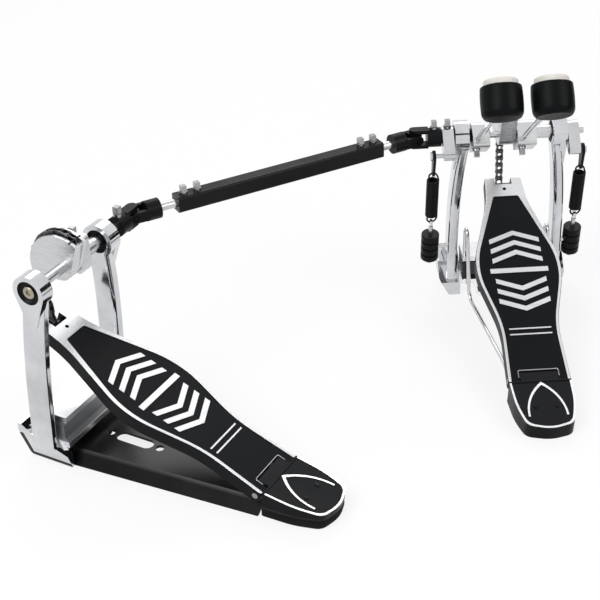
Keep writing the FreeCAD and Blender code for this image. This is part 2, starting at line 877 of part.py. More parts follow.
def make_heel_plate(pedal, label):
    """A sloping hollow heel plate with a hinge knuckle, cut level with what it stands on."""
    body = new_body(label if pedal is SECOND else label + "_casting")
    top = v.hinge_depth
    pad(body, new_sketch(body, "XY_Plane", [rounded(heel_corners(0))],
                         "sizes.hinge_depth - sizes.heel_depth"),
        "sizes.heel_depth")
    knuckle = [(-v.heel_front - v.heel_wall, -top, 0), (v.tongue_nose, -top, v.tongue_nose - v.fit_gap),
               (v.tongue_nose, top, v.tongue_round), (-v.heel_front - v.heel_wall, top, 0)]
    pad(body, new_sketch(body, "YZ_Plane", [rounded(knuckle)]), "2 * sizes.tongue_knuckle_half", True)
    slope = math.tan(math.radians(v.heel_tilt))
    rise = (pedal.heel_floor - v.hinge_z) / math.cos(math.radians(v.heel_tilt))
    back, front = -v.heel_length - v.overrun, v.board_back + v.overrun
    deep = -v.heel_depth - v.heel_length
    under = [(back, rise - back * slope, 0), (front, rise - front * slope, 0), (front, deep, 0),
             (back, deep, 0)]
    pocket(body, new_sketch(body, "YZ_Plane", [rounded(under)]), None, True)
    hollow = new_sketch(body, "XY_Plane", [rounded(heel_corners(v.heel_wall))],
                        "sizes.hinge_depth - sizes.heel_skin")
    pocket(body, hollow)
    field = [rounded(heel_corners(v.heel_rim)), arch_outline()]
    pocket(body, new_sketch(body, "XY_Plane", field, "sizes.hinge_depth"), "sizes.heel_recess")
    spots = heel_screw_spots()
    pocket(body, round_sketch(body, "XY_Plane", spots, "sizes.heel_screw_radius + sizes.fit_gap",
                              "sizes.hinge_depth"),
           "sizes.heel_screw_height")
    pocket(body, round_sketch(body, "YZ_Plane", [(0, 0)], "sizes.hinge_radius + sizes.fit_gap"), None, True)
    if pedal is SECOND:
        return keep(body, label, pedal.place * HEEL_FRAME)
    level = HEEL_FRAME.inverse()
    holes = []
    for side in (-1, 1):
        hole = doc.addObject("Part::Cylinder", label + "_rod_hole")
        hole.setExpression("Radius", "sizes.rod_radius + sizes.fit_gap")
        hole.setExpression("Height", "2 * sizes.heel_wall + sizes.heel_front")
        start = Vector(side * v.rod_heel_x, rod_start_y(), v.rod_radius + v.rod_floor_gap)
        hole.Placement = level * Placement(start, TURN_TO["y"])
        holes.append(hole)
    return keep(cut(label, body, holes), label, pedal.place * HEEL_FRAME)


def rod_start_y():
    """Where the radius rods end behind the heel plate's front wall."""
    return v.hinge_y - v.heel_front - v.heel_wall


def heel_screw_spots():
    return [(side * v.heel_screw_x, -v.heel_screw_y) for side in (-1, 1)]


def make_hinge_pins():
    """One pin through the ears of each footboard and the knuckle of its heel plate."""
    pins = []
    for pedal in (MAIN, SECOND):
        pin = Part.makeCylinder(v.hinge_radius, 2 * v.board_heel_half, Vector(-v.board_heel_half, 0, 0), X)
        pin.Placement = pedal.place * AT_HINGE * pin.Placement
        pins.append(pin)
    keep_shape("hinge_pins", Part.makeCompound(pins), Placement())


# Base plate of the second pedal.


def base_profile(half, y):
    """Corners of the folded sheet across the plate: a flat top and two flanges down to the floor."""
    fold = half - v.base_slope
    top, under = v.base_top, v.base_top - v.base_sheet
    right = [Vector(half, y, 0), Vector(fold, y, top)]
    inside = [Vector(half - v.base_sheet, y, 0), Vector(fold - v.base_sheet / 2, y, under)]
    outer = right + [Vector(-p.x, p.y, p.z) for p in reversed(right)]
    return outer + [Vector(-p.x, p.y, p.z) for p in inside] + list(reversed(inside))


def face_of(points):
    return Part.Face(Part.makePolygon(points + points[:1]))


def tapered(front, back):
    """The solid between two like outlines, with flat sides."""
    count = len(front)
    faces = [face_of(front), face_of(back)]
    for i in range(count):
        after = (i + 1) % count
        faces.append(face_of([front[i], front[after], back[after], back[i]]))
    solid = Part.makeSolid(Part.makeShell(faces))
    return solid if solid.Volume > 0 else solid.reversed()


def heel_plan(inset):
    """Corners of the heel plate's outline where it stands on the base plate."""
    tilt = math.radians(v.heel_tilt)
    shift = (v.hinge_z - v.base_top) * math.tan(tilt)
    return [(x, v.hinge_y + y / math.cos(tilt) + shift, r) for x, y, r in heel_corners(inset)]


def make_base_plate():
    """The folded base plate with its slot, holes and the tab under the bridge."""
    sheet_low = v.base_top - v.base_sheet
    plate = tapered(base_profile(v.base_front_half, v.base_front),
                    base_profile(v.base_back_half, v.base_back))
    tab_half = v.base_front_half - v.base_slope - v.base_sheet
    tab = Part.makeBox(2 * tab_half, v.web_front - v.base_front, v.base_sheet,
                       Vector(-tab_half, v.base_front, sheet_low))
    neck_half = v.base_back_half - v.base_slope - v.base_sheet
    neck_back = v.hinge_y - v.heel_front - v.heel_wall
    neck = Part.makeBox(2 * neck_half, v.base_back - neck_back, v.base_sheet,
                        Vector(-neck_half, neck_back, sheet_low))
    tail = filled(rounded(heel_plan(0))).extrude(Z * v.base_sheet)
    tail.translate(Z * sheet_low)
    half = v.base_slot_length / 2 - v.base_slot_width / 2
    slot = hull((0, v.base_slot_y - half), v.base_slot_width / 2, (0, v.base_slot_y + half),
                v.base_slot_width / 2)
    tools = [filled(slot).extrude(Z * (2 * v.base_top))]
    spots = [(0, v.base_slot_y + side * v.base_hole_gap) for side in (-1, 1)]
    spots += [(side * v.base_screw_x, v.base_screw_y) for side in (-1, 1)]
    for x, y in spots:
        tools.append(Part.makeCylinder(v.base_hole_radius, 2 * v.base_top, Vector(x, y, 0)))
    solid = plate.fuse([tab, neck, tail]).removeSplitter().cut(tools)
    keep_shape("second_base_plate", solid, SECOND.place)


def make_base_pads():
    """A rubber pad under the bridge and a rubber sole under the heel plate."""
    height = v.base_top - v.base_sheet
    pad_start = Vector(-v.pad_half, v.pad_front_y - v.pad_length, 0)
    front = Part.makeBox(2 * v.pad_half, v.pad_length, height, pad_start)
    sole = filled(rounded(heel_plan(v.side_gap))).extrude(Z * height)
    keep_shape("base_pads", Part.makeCompound([front, sole]), SECOND.place)


def stud(side, out):
    """A stud from inside a post out to a distance from the middle."""
    start = post_x(v.barrel_height) + v.post_width / 2 - v.stud_depth + v.fit_gap
    return Part.makeCylinder(v.stud_radius, out - start, Vector(side * start, 0, v.barrel_height), X * side)


def make_frame_fasteners():
    """Studs on the main posts, the base plate's screws and the heel plates' screws."""
    into = v.barrel_radius - v.stud_in_barrel + v.fit_gap
    solids = [stud(1, v.main_spring_x - into), stud(-1, -v.sub_spring_x - into)]
    for side in (-1, 1):
        under = Vector(side * v.base_screw_x, v.base_screw_y, v.base_top - v.base_sheet)
        shank = Part.makeCylinder(v.base_screw_radius, v.base_sheet + v.base_screw_length - v.overrun, under)
        head = Part.makeCylinder(v.base_screw_head, v.base_screw_head_height,
                                 under - Z * (v.base_screw_head_height + v.fit_gap))
        neck = Part.makeCylinder(v.base_screw_radius, 2 * v.fit_gap, under - Z * v.fit_gap)
        screw = shank.fuse([head, neck]).removeSplitter()
        screw.Placement = SECOND.place * screw.Placement
        solids.append(screw)
    for pedal in (MAIN, SECOND):
        for x, y in heel_screw_spots():
            low = v.hinge_depth - v.heel_screw_height + v.fit_gap
            button = Part.makeCylinder(v.heel_screw_radius, v.heel_screw_height - v.fit_gap,
                                       Vector(x, y, low))
            button.Placement = pedal.place * HEEL_FRAME * button.Placement
            solids.append(button)
    keep_shape("frame_fasteners", Part.makeCompound(solids), Placement())


def bent_rod(points, bends, radius):
    """A round rod along straight runs joined by tangent arcs of the given radii."""
    edges = []
    start = points[0]
    for i, bend in enumerate(bends, start=1):
        before = points[i - 1] - points[i]
        after = points[i + 1] - points[i]
        before.normalize()
        after.normalize()
        half = before.getAngle(after) / 2
        reach = bend / math.tan(half)
        inward = before + after
        inward.normalize()
        middle = points[i] + inward * (bend / math.sin(half) - bend)
        enter, leave = points[i] + before * reach, points[i] + after * reach
        if (enter - start).Length > v.fit_gap:
            edges.append(Part.LineSegment(start, enter).toShape())
        edges.append(Part.Arc(enter, middle, leave).toShape())
        start = leave
    edges.append(Part.LineSegment(start, points[-1]).toShape())
    ring = Part.Wire([Part.makeCircle(radius, points[0], points[1] - points[0])])
    return Part.Wire(edges).makePipeShell([ring], True, False)


def make_radius_rods():
    """Two bent rods from the heel plate along the floor, up at the frame and over onto the bridge."""
    rods = []
    low = v.rod_radius + v.rod_floor_gap
    heel_y = rod_start_y()
    crook = v.rod_crook - v.fit_gap
    down_y = v.rod_y + 2 * v.rod_crook
    for side in (-1, 1):
        top_x = side * v.rod_top_x
        points = [Vector(side * v.rod_heel_x, heel_y, low),
                  Vector(side * v.rod_heel_x, heel_y + v.rod_straight, low),
                  Vector(side * v.rod_frame_x, v.rod_y, low), Vector(top_x, v.rod_y, v.rod_top),
                  Vector(top_x, down_y, v.rod_top), Vector(top_x, down_y, v.bridge_top)]
        rods.append(bent_rod(points, [v.axle_height, v.rod_bend, crook, crook], v.rod_radius))
    keep_shape("radius_rods", Part.makeCompound(rods), MAIN.place)


# Axles, cams and chains.


def make_axles():
    """The stepped main axle, the hollow sub axle round its left end, and the second pedal's axle."""
    fit = "sizes.fit_gap"
    hub_end = "sizes.main_hub_x + sizes.hub_width / 2 + " + fit
    housing_in = "sizes.housing_middle - sizes.housing_width / 2 - sizes.side_gap"
    main = [cylinder("main_axle", "sizes.axle_radius", "sizes.axle_end - sizes.sub_axle_inside", "x",
                     "sizes.sub_axle_inside"),
            cylinder("main_axle", "sizes.sleeve_radius", "(%s) - (%s)" % (housing_in, hub_end), "x", hub_end)]
    keep(fuse("main_axle", main), "main_axle", MAIN.place * AT_AXLE)
    sub_start = "sizes.main_joint_x + sizes.fork_depth + sizes.socket_floor + " + fit
    tube = cylinder("sub_axle", "sizes.sleeve_radius", "sizes.sub_axle_end - (%s)" % sub_start, "x",
                    sub_start)
    bore = cylinder("sub_axle", "sizes.axle_radius + " + fit,
                    "sizes.sub_axle_end - sizes.sub_axle_inside + sizes.overrun",
                    "x", "sizes.sub_axle_inside - sizes.side_gap")
    keep(cut("sub_axle", tube, [bore]), "sub_axle", MAIN.place * AT_AXLE)
    reach = "sizes.second_joint_x - sizes.fork_depth - sizes.socket_floor - " + fit
    cheek_end = "sizes.chain_x + sizes.link_pin_half + sizes.cam_gap + sizes.cheek_thickness"
    boss_end = cheek_end + " + sizes.cam_boss_width + " + fit
    second = [cylinder("second_axle", "sizes.second_axle_radius", "sizes.second_axle_end + " + reach, "x",
                       "-sizes.second_axle_end"),
              cylinder("second_axle", "sizes.sleeve_radius", "(%s) - (%s)" % (housing_in, boss_end), "x",
                       boss_end)]
    keep(fuse("second_axle", second), "second_axle", SECOND.place * AT_AXLE)


def make_cam(pedal, label, shaft):
    """Two cheeks either side of the chain's bed, and on the second pedal a boss for its screw."""
    body = new_body(label)
    half = "(sizes.link_pin_half + sizes.cam_gap)"
    left = "sizes.chain_x - %s - sizes.cheek_thickness" % half
    cheek = sector(v.cheek_radius, v.cam_hub_radius, v.cam_from_angle, v.cam_to_angle)
    bed = sector(v.cam_bed_radius, v.cam_hub_radius, v.cam_from_angle, v.cam_to_angle)
    pad(body, new_sketch(body, "YZ_Plane", [bed], left), "2 * (%s + sizes.cheek_thickness)" % half)
    for start in (left, "sizes.chain_x + " + half):
        pad(body, new_sketch(body, "YZ_Plane", [cheek], start), "sizes.cheek_thickness")
    wrap = chain_points()[2]
    seat_from = math.degrees(math.atan2(wrap[0].z, wrap[0].y)) + v.cam_seat_angle
    seat = sector(v.chain_radius - v.plate_radius - v.side_gap, v.cam_hub_radius, seat_from, v.cam_to_angle)
    pad(body, new_sketch(body, "YZ_Plane", [seat], left), "2 * (%s + sizes.cheek_thickness)" % half)
    anchor = [(wrap[-1].y, wrap[-1].z)]
    pocket(body, round_sketch(body, "YZ_Plane", anchor, "sizes.link_pin_radius + sizes.fit_gap"), None, True)
    if pedal is SECOND:
        boss = [box_outline(-v.cam_hub_radius, -v.cam_hub_radius, v.cam_hub_radius, v.cam_bed_radius,
                            v.hub_corner)]
        right = "sizes.chain_x + %s + sizes.cheek_thickness" % half
        pad(body, new_sketch(body, "YZ_Plane", boss, right), "sizes.cam_boss_width")
        spot = [(second_bolt_x(), 0)]
        hole = round_sketch(body, "XY_Plane", spot, "sizes.bolt_radius + sizes.fit_gap",
                            "sizes.cam_bed_radius")
        pocket(body, hole, "sizes.cam_bed_radius")
    pocket(body, round_sketch(body, "YZ_Plane", [(0, 0)], shaft + " + sizes.fit_gap"), None, True)
    return keep(body, label, pedal.place * AT_AXLE)


def second_bolt_x():
    return v.chain_x + CHAIN_HALF + v.cheek_thickness + v.cam_boss_width / 2


def link(start, end, outer, start_pin=True, end_pin=True):
    """One link between two pins in the plane of the chain: outer plates with pins, or inner with rollers."""
    near = v.inner_half + (v.plate_thickness + v.cam_gap / 4) * outer
    solids = []
    for side in (-1, 1):
        plate = filled(hull((start.y, start.z), v.plate_radius, (end.y, end.z), v.plate_radius))
        plate = plate.extrude(Z * v.plate_thickness)
        from_x = near if side > 0 else -near - v.plate_thickness
        plate.Placement = Placement(Vector(from_x, 0, 0), Rotation(DIAGONAL, THIRD_TURN))
        solids.append(plate)
    spots = [p for p, wanted in ((start, start_pin), (end, end_pin)) if wanted]
    half = v.link_pin_half if outer else near + v.plate_thickness / 2
    radius = v.link_pin_radius if outer else v.roller_radius
    for spot in spots:
        solids.append(Part.makeCylinder(radius, 2 * half, spot - X * half, X))
    solid = solids[0].fuse(solids[1:])
    if not outer:
        bores = [Part.makeCylinder(v.link_pin_radius + v.fit_gap, 4 * half, p - X * (2 * half), X)
                 for p in (start, end)]
        solid = solid.cut(Part.makeCompound(bores))
    return solid.removeSplitter()


def chain_points():
    """Pins of the whole chain in the cam's frame: up the straight drop, then round the cam.

    The two links that leave the cam first go in straight pairs, so their pins lie on long chords.
    """
    touch = math.radians(CHAIN_TOUCH)
    up = Vector(0, -math.sin(touch), math.cos(touch))
    toe = Vector(0, TOE_Y, TOE_Z)
    drop = [toe + up * (v.chain_pitch * i) for i in range(int(v.drop_links) + 1)]
    pair_turn = 2 * math.asin(v.chain_pitch / v.chain_radius)
    single_turn = 2 * math.asin(v.chain_pitch / 2 / v.chain_radius)
    corners = [touch + pair_turn * i for i in range(int(v.link_pairs) + 1)]
    rim = [Vector(0, math.cos(a), math.sin(a)) * v.chain_radius for a in corners]
    pairs = [[a, (a + b) * 0.5, b] for a, b in zip(rim, rim[1:])]
    wrap = [Vector(0, math.cos(a), math.sin(a)) * v.chain_radius
            for a in (corners[-1] + single_turn * i for i in range(int(v.wrap_links) + 1))]
    return drop, pairs, wrap


def make_chain(pedal):
    """The chain in four stretches: the drop, two pairs that leave the cam, and what stays on it."""
    drop, pairs, wrap = chain_points()
    place = pedal.place * AT_AXLE * moved(x=v.chain_x)
    links = [link(a, b, i % 2 == 0, i > 0) for i, (a, b) in enumerate(zip(drop, drop[1:]))]
    pin_start = drop[0] - X * (v.toe_pin_half + v.chain_x)
    toe_pin = Part.makeCylinder(v.toe_pin_radius, 2 * v.toe_pin_half, pin_start, X)
    links[0] = links[0].fuse(toe_pin).removeSplitter()
    keep_shape(pedal.name + "_chain_drop", Part.makeCompound(links), place)
    for name, pins in zip(("lower", "upper"), pairs):
        last = name == "upper"
        solids = [link(pins[0], pins[1], False), link(pins[1], pins[2], True, True, not last)]
        keep_shape("%s_chain_%s_pair" % (pedal.name, name), Part.makeCompound(solids), place)
    links = [link(a, b, i % 2 == 1) for i, (a, b) in enumerate(zip(wrap, wrap[1:]))]
    half = CHAIN_HALF + v.cheek_thickness
    links.append(Part.makeCylinder(v.link_pin_radius, 2 * half, wrap[-1] - X * half, X))
    keep_shape(pedal.name + "_chain_wrap", Part.makeCompound(links), place)


# Beaters.


def make_hub(label, x, width, shaft):
    """A block on the axle that grips a beater shaft behind it with a square-headed screw."""
    body = new_body(label)
    corner = v.hub_corner
    profile = rounded([(-v.hub_back, -v.hub_low, corner), (v.hub_front, -v.hub_low, 2 * corner),
                       (v.hub_front, v.hub_front, 2 * corner), (-v.shaft_offset / 2, v.hub_high, corner),
                       (-v.hub_back, v.hub_high, corner)])
    start = "sizes.%s_hub_x - sizes.%s / 2" % (x, width)
    pad(body, new_sketch(body, "YZ_Plane", [profile], start), "sizes." + width)
    pocket(body, round_sketch(body, "YZ_Plane", [(0, 0)], shaft + " + sizes.fit_gap"), None, True)
    middle = getattr(v, x + "_hub_x") - v.shaft_aside
    grip = round_sketch(body, "XY_Plane", [(middle, -v.shaft_offset)], "sizes.shaft_radius + sizes.fit_gap")
    pocket(body, grip, None, True)
    screw = round_sketch(body, "XZ_Plane", [(middle, hub_bolt_height())], "sizes.bolt_radius + sizes.fit_gap",
                         "sizes.hub_back")
    pocket(body, screw, "sizes.hub_back - sizes.shaft_offset")
    return keep(body, label, MAIN.place * BEATER_FRAME)


def hub_bolt_height():
    return (v.hub_high - v.hub_corner) / 2


def make_beater(name, x):
    """A shaft, a barrel head and the felt face of the head."""
    place = MAIN.place * BEATER_FRAME * moved(x=x - v.shaft_aside, y=-v.shaft_offset)
    label = name + "_beater_shaft"
    body = new_body(label)
    pad(body, round_sketch(body, "XY_Plane", [(0, 0)], "sizes.shaft_radius", "-sizes.shaft_tail"),
        "sizes.shaft_tail + sizes.head_height + sizes.shaft_in_head - sizes.fit_gap")
    keep(body, label, place)
    label = name + "_beater_head"
    body = new_body(label)
    profile = rounded([(0, -v.head_back, 0), (v.head_radius, -v.head_back, v.head_back_round),
                       (v.head_radius, v.head_front, v.head_front_round), (0, v.head_front, 0)])
    spin(body, new_sketch(body, "XY_Plane", [profile]))
    pocket(body, round_sketch(body, "XY_Plane", [(0, 0)], "sizes.shaft_radius + sizes.fit_gap",
                              "sizes.shaft_in_head"))
    at_head = place * moved(z=v.head_height)
    keep(body, label, at_head)
    label = name + "_beater_felt"
    body = new_body(label)
    front = v.head_front + v.felt_thickness
    profile = rounded([(0, v.head_front, 0), (v.felt_radius, v.head_front, 0),
                       (v.felt_radius, front, v.felt_round),
                       (0, front, 0)])
    spin(body, new_sketch(body, "XY_Plane", [profile]))
    keep(body, label, at_head)


def key_bolt(place, shank):
    """A square-headed screw with its seat at the place's origin, its head along the place's z."""
    seat = v.fit_gap
    rod = Part.makeCylinder(v.bolt_radius, shank + seat, Vector(0, 0, -shank))
    collar = Part.makeCylinder(v.bolt_collar, v.bolt_collar_height, Vector(0, 0, seat))
    side = v.bolt_square
    head = Part.makeBox(side, side, v.bolt_square_height,
                        Vector(-side / 2, -side / 2, seat + v.bolt_collar_height))
    solid = rod.fuse([collar, head]).removeSplitter()
    solid.Placement = place
    return solid


def sub_yoke_bolt_x():
    return v.main_joint_x + v.fork_depth + v.socket_length / 2


def sub_rocker_bolt_x():
    return -HOUSING_OUT - v.rocker_gap - v.rocker_width / 2


def make_key_bolts():
    """The square-headed screws of each turning assembly, one node for each."""
    back = turned(X, QUARTER_TURN)
    shank = v.hub_back - v.shaft_offset - v.shaft_radius - v.side_gap
    grip = v.sleeve_radius + v.side_gap
    upright = turned(X, -v.beater_lean_angle)
    for name, x in (("main", v.main_hub_x), ("sub", v.sub_hub_x)):
        bolts = [key_bolt(moved(x - v.shaft_aside, -v.hub_back, hub_bolt_height()) * back, shank)]
        if name == "sub":
            bolts.append(key_bolt(upright * moved(sub_yoke_bolt_x(), 0, v.yoke_radius), v.yoke_radius - grip))
            bolts.append(key_bolt(upright * moved(sub_rocker_bolt_x(), 0, v.rocker_radius),
                                  v.rocker_radius - grip))
        keep_shape(name + "_key_bolts", Part.makeCompound(bolts), MAIN.place * BEATER_FRAME)
    shank = v.cam_bed_radius - v.second_axle_radius - v.side_gap
    bolts = [key_bolt(moved(second_bolt_x(), 0, v.cam_bed_radius), shank)]
    keep_shape("second_key_bolts", Part.makeCompound(bolts), SECOND.place * AT_AXLE)


# Spring side.


def make_rocker(label, side, spring_x, shaft):
    """A clamp on the axle with an arm and a pin that pulls the spring's hook."""
    body = new_body(label if side > 0 else label + "_casting")
    start = HOUSING_OUT + v.rocker_gap
    arm = hull((0, 0), v.rocker_radius, (-v.rocker_arm, 0), v.rocker_tip)
    first = "sizes.housing_middle + sizes.housing_width / 2 + sizes.rocker_gap"
    near = first if side > 0 else "-(%s) - sizes.rocker_width" % first
    pad(body, new_sketch(body, "YZ_Plane", [arm], near), "sizes.rocker_width")
    reach = abs(spring_x) + v.hook_thickness / 2 + v.side_gap
    inner = start + v.rocker_width / 2
    for radius, low, high in (("sizes.rocker_pin_radius", inner, reach),
                              ("sizes.rocker_pin_head", reach, reach + v.rocker_pin_head_width)):
        low_end = low if side > 0 else -high
        sketch = round_sketch(body, "YZ_Plane", [(-v.rocker_arm, 0)], radius)
        sketch.AttachmentOffset = moved(z=low_end)
        pin = body.newObject("PartDesign::Pad", label + "_pin")
        pin.Profile = sketch
        pin.Length = high - low
    pocket(body, round_sketch(body, "YZ_Plane", [(0, 0)], shaft + " + sizes.fit_gap"), None, True)
    place = MAIN.place * AT_AXLE * turned(X, ROCKER_REST)
    if side > 0:
        return keep(body, label, place)
    hole = doc.addObject("Part::Cylinder", label + "_screw_hole")
    hole.setExpression("Radius", "sizes.bolt_radius + sizes.fit_gap")
    hole.setExpression("Height", "sizes.rocker_arm")
    hole.Placement = turned(X, -ROCKER_REST) * moved(x=sub_rocker_bolt_x())
    return keep(cut(label, body, [hole]), label, place)


def spring_frame(spring_x):
    """The frame of a spring: its origin at the barrel's middle, z along the spring."""
    return MAIN.place * turned(X, SPRING_LEAN, Vector(spring_x, 0, v.barrel_height))


def spring_heights():
    """Heights along the spring: the lowest wire, the coil's ends, the highest wire and the wire's seat."""
    seat = v.hook_hole - v.wire_radius - v.side_gap
    low = v.eye_height + seat
    high = PIN_ALONG_SPRING - v.hook_drop - seat
    return low, low + 2 * v.loop_radius, high - 2 * v.loop_radius, high, seat


def make_hook(label, spring_x):
    """A flat hook from the rocker's pin to the spring's upper loop, slotted for the pin's sweep."""
    body = new_body(label)
    high, seat = spring_heights()[3:]
    hole_z = high + seat
    slot_half = v.rocker_arm * (1 - math.cos(math.radians(v.beater_swing_angle / 2))) / 2
    slot_radius = v.rocker_pin_radius + v.hook_slot_gap
    outline = hull((0, PIN_ALONG_SPRING), v.hook_half, (0, hole_z), v.hook_foot_half)
    mid = "-sizes.hook_thickness / 2"
    pad(body, new_sketch(body, "YZ_Plane", [outline], mid), "sizes.hook_thickness")
    slot = hull((-slot_half, PIN_ALONG_SPRING), slot_radius, (slot_half, PIN_ALONG_SPRING), slot_radius)
    pocket(body, new_sketch(body, "YZ_Plane", [slot]), None, True)
    pocket(body, round_sketch(body, "YZ_Plane", [(0, hole_z)], "sizes.hook_hole"), None, True)
    return keep(body, label, spring_frame(spring_x))


def biarc(start, start_way, end, end_way):
    """Two arcs that leave start along one direction and reach end along another."""
    across = end - start
    ways = start_way + end_way
    bend = 2 * (1 - start_way.dot(end_way))
    lean = across.dot(ways)
    reach = (math.sqrt(lean ** 2 + bend * across.dot(across)) - lean) / bend
    middle = (start + start_way * reach + end - end_way * reach) * 0.5
    arcs = []
    for a, way, b in ((start, start_way, middle), (end, end_way * -1, middle)):
        chord = b - a
        half = way.getAngle(chord)
        unit = Vector(chord).normalize()
        out = (way - unit * way.dot(unit)).normalize()
        top = (a + b) * 0.5 + out * (chord.Length / 2 * math.tan(half / 2))
        arcs.append((a, top, b))
    (a, top, b), (c, top_end, d) = arcs
    return [Part.Arc(a, top, b).toShape(), Part.Arc(d, top_end, c).toShape()]


def spring_path():
    """Points and directions along the wire: lower loop, quarter turns of the coil, upper loop."""
    low, coil_low, coil_high, high = spring_heights()[:4]
    radius, loop = v.coil_radius, v.loop_radius
    turns = int((coil_high - coil_low) / v.coil_pitch)
    slope = (coil_high - coil_low) / turns / (2 * math.pi)
    spots = []
    for i in range(4 * turns + 1):
        angle = math.pi / 2 * i
        point = Vector(radius * math.cos(angle), radius * math.sin(angle), coil_low + slope * angle)
        way = Vector(-radius * math.sin(angle), radius * math.cos(angle), slope).normalize()
        spots.append((point, way))
    end_way = Vector(-1, 0, 0)
    slant = loop * SLANT_SHARE
    upper = [(Vector(0, 0, high), end_way), (Vector(-loop, 0, high - loop), Z * -1),
             (Vector(-slant, 0, high - loop - slant), (X - Z).normalize())]
    lower = [(Vector(-slant, 0, low + loop + slant), (X + Z).normalize() * -1),
             (Vector(-loop, 0, low + loop), Z * -1), (Vector(0, 0, low), X)]
    return lower + spots + upper


def spring_gap(wire):
    """The least gap of the wire to itself, measured on points further apart along it than a loop's bend."""
    points = wire.discretize(Distance=v.wire_radius / 2)
    skip = int(2 * math.pi * v.loop_radius / v.wire_radius)
    least = min((p - q).Length for i, p in enumerate(points) for q in points[i + skip:i + 6 * skip])
    return least - 2 * v.wire_radius


def make_spring(label, spring_x):
    """A coil spring with a loop at each end, one unbroken wire."""
    path = spring_path()
    edges = []
    for (start, start_way), (end, end_way) in zip(path, path[1:]):
        edges += biarc(start, start_way, end, end_way)
    wire = Part.Wire(edges)
    ring = Part.Wire([Part.makeCircle(v.wire_radius, path[0][0], path[0][1])])
    solid = wire.makePipeShell([ring], True, False)
    print("%s: wire %.0f mm, least gap to itself %.2f mm" % (label, wire.Length, spring_gap(wire)))
    keep_shape(label, solid, spring_frame(spring_x))


def make_eye_bolts():
    """A bolt with an eye for each spring's lower loop."""
    solids = []
    for spring_x in (v.main_spring_x, v.sub_spring_x):
        eye = Part.makeCylinder(v.eye_radius, v.eye_thickness,
                                Vector(-v.eye_thickness / 2, 0, v.eye_height), X)
        shank_end = v.eye_height - v.hook_hole - v.side_gap
        shank = Part.makeCylinder(v.eye_bolt_radius, v.eye_bolt_tail + shank_end,
                                  Vector(0, 0, -v.eye_bolt_tail))
        hole = Part.makeCylinder(v.hook_hole, 2 * v.eye_radius, Vector(-v.eye_radius, 0, v.eye_height), X)
        solid = eye.fuse(shank).removeSplitter().cut(hole)
        solid.Placement = spring_frame(spring_x)
        solids.append(solid)
    keep_shape("spring_eye_bolts", Part.makeCompound(solids), Placement())


def make_barrels():
    """The grooved tension barrels, bored for the eye bolts and the posts' studs."""
    solids = []
    length = 2 * v.barrel_half
    for spring_x, side in ((v.main_spring_x, 1), (v.sub_spring_x, -1)):
        barrel = Part.makeCylinder(v.barrel_radius, length, Vector(0, 0, -v.barrel_half))
        ends = [e for e in barrel.Edges if abs(abs(e.CenterOfMass.z) - v.barrel_half) < v.fit_gap]
        barrel = barrel.makeFillet(v.barrel_groove, ends)
        tools = [Part.makeCylinder(v.eye_bolt_radius + v.fit_gap, 2 * length, Vector(0, 0, -length))]
        for step in (-1, 0, 1):
            low = Vector(0, 0, step * v.barrel_groove_step - v.barrel_groove_width / 2)
            ring = Part.makeCylinder(v.barrel_radius + v.overrun, v.barrel_groove_width, low)
            tools.append(ring.cut(Part.makeCylinder(v.barrel_radius - v.barrel_groove,
                                                    v.barrel_groove_width, low)))
        deep = v.barrel_radius - v.stud_in_barrel
        tools.append(Part.makeCylinder(v.stud_radius + v.fit_gap, v.barrel_radius, X * (-side * deep),
                                       X * -side))
        solid = barrel.cut(tools)
        solid.Placement = spring_frame(spring_x)
        solids.append(solid)
    keep_shape("tension_barrels", Part.makeCompound(solids), Placement())


# Drive link.


def joint_places():
    """The two joint centres, and frames there whose x runs along the axles or along the link."""
    main = Vector(v.main_joint_x, 0, v.axle_height)
    second = SECOND.place.multVec(Vector(v.second_joint_x, 0, v.axle_height))
    along = second - main
    turn = math.degrees(math.atan2(along.y, along.x))
    return main, second, turn, along.Length


def make_yoke(label, place, shaft, pivot_gap):
    """A fork with a socket: x runs from the joint's centre to its shaft, its pins lie along z."""
    barrel = cylinder(label, "sizes.yoke_radius", "sizes.socket_length", "x", "sizes.fork_depth")
    half = "sizes.fork_gap / 2"
    ear_radius = "(%s - sizes.fork_ear_gap)" % half
    solids = [barrel]
    for low in (half, "-%s - sizes.fork_ear" % half):
        solids.append(block(label, ("sizes.fork_depth + sizes.socket_floor", "2 * " + ear_radius,
                                    "sizes.fork_ear"),
                            ("0", "-" + ear_radius, low)))
        solids.append(cylinder(label, ear_radius, "sizes.fork_ear", "z", "0", "0", low))
    pins = cylinder(label, "sizes.cross_pin + " + pivot_gap, "2 * sizes.fork_depth", "z", "0", "0",
                    "-sizes.fork_depth")
    socket = cylinder(label, shaft + " + sizes.fit_gap", "sizes.socket_length", "x",
                      "sizes.fork_depth + sizes.socket_floor")
    tools = [pins, socket]
    if label == "sub_axle_yoke":
        tools.append(cylinder(label, "sizes.bolt_radius + sizes.fit_gap", "2 * sizes.yoke_radius", "z",
                              "sizes.fork_depth + sizes.socket_length / 2"))
    keep(cut(label, fuse(label, solids), tools), label, place)


def make_cross(label, place):
    """The joint's cross: a block with one pin along z and one along y."""
    half = "(sizes.fork_gap / 2 - sizes.cross_gap)"
    side = "2 * " + half
    reach = "(sizes.fork_gap / 2 + sizes.fork_ear)"
    solids = [block(label, (side, side, side), ("-" + half, "-" + half, "-" + half)),
              cylinder(label, "sizes.cross_pin", "2 * " + reach, "z", "0", "0", "-" + reach),
              cylinder(label, "sizes.cross_pin", "2 * " + reach, "y", "0", "-" + reach)]
    keep(fuse(label, solids), label, place)


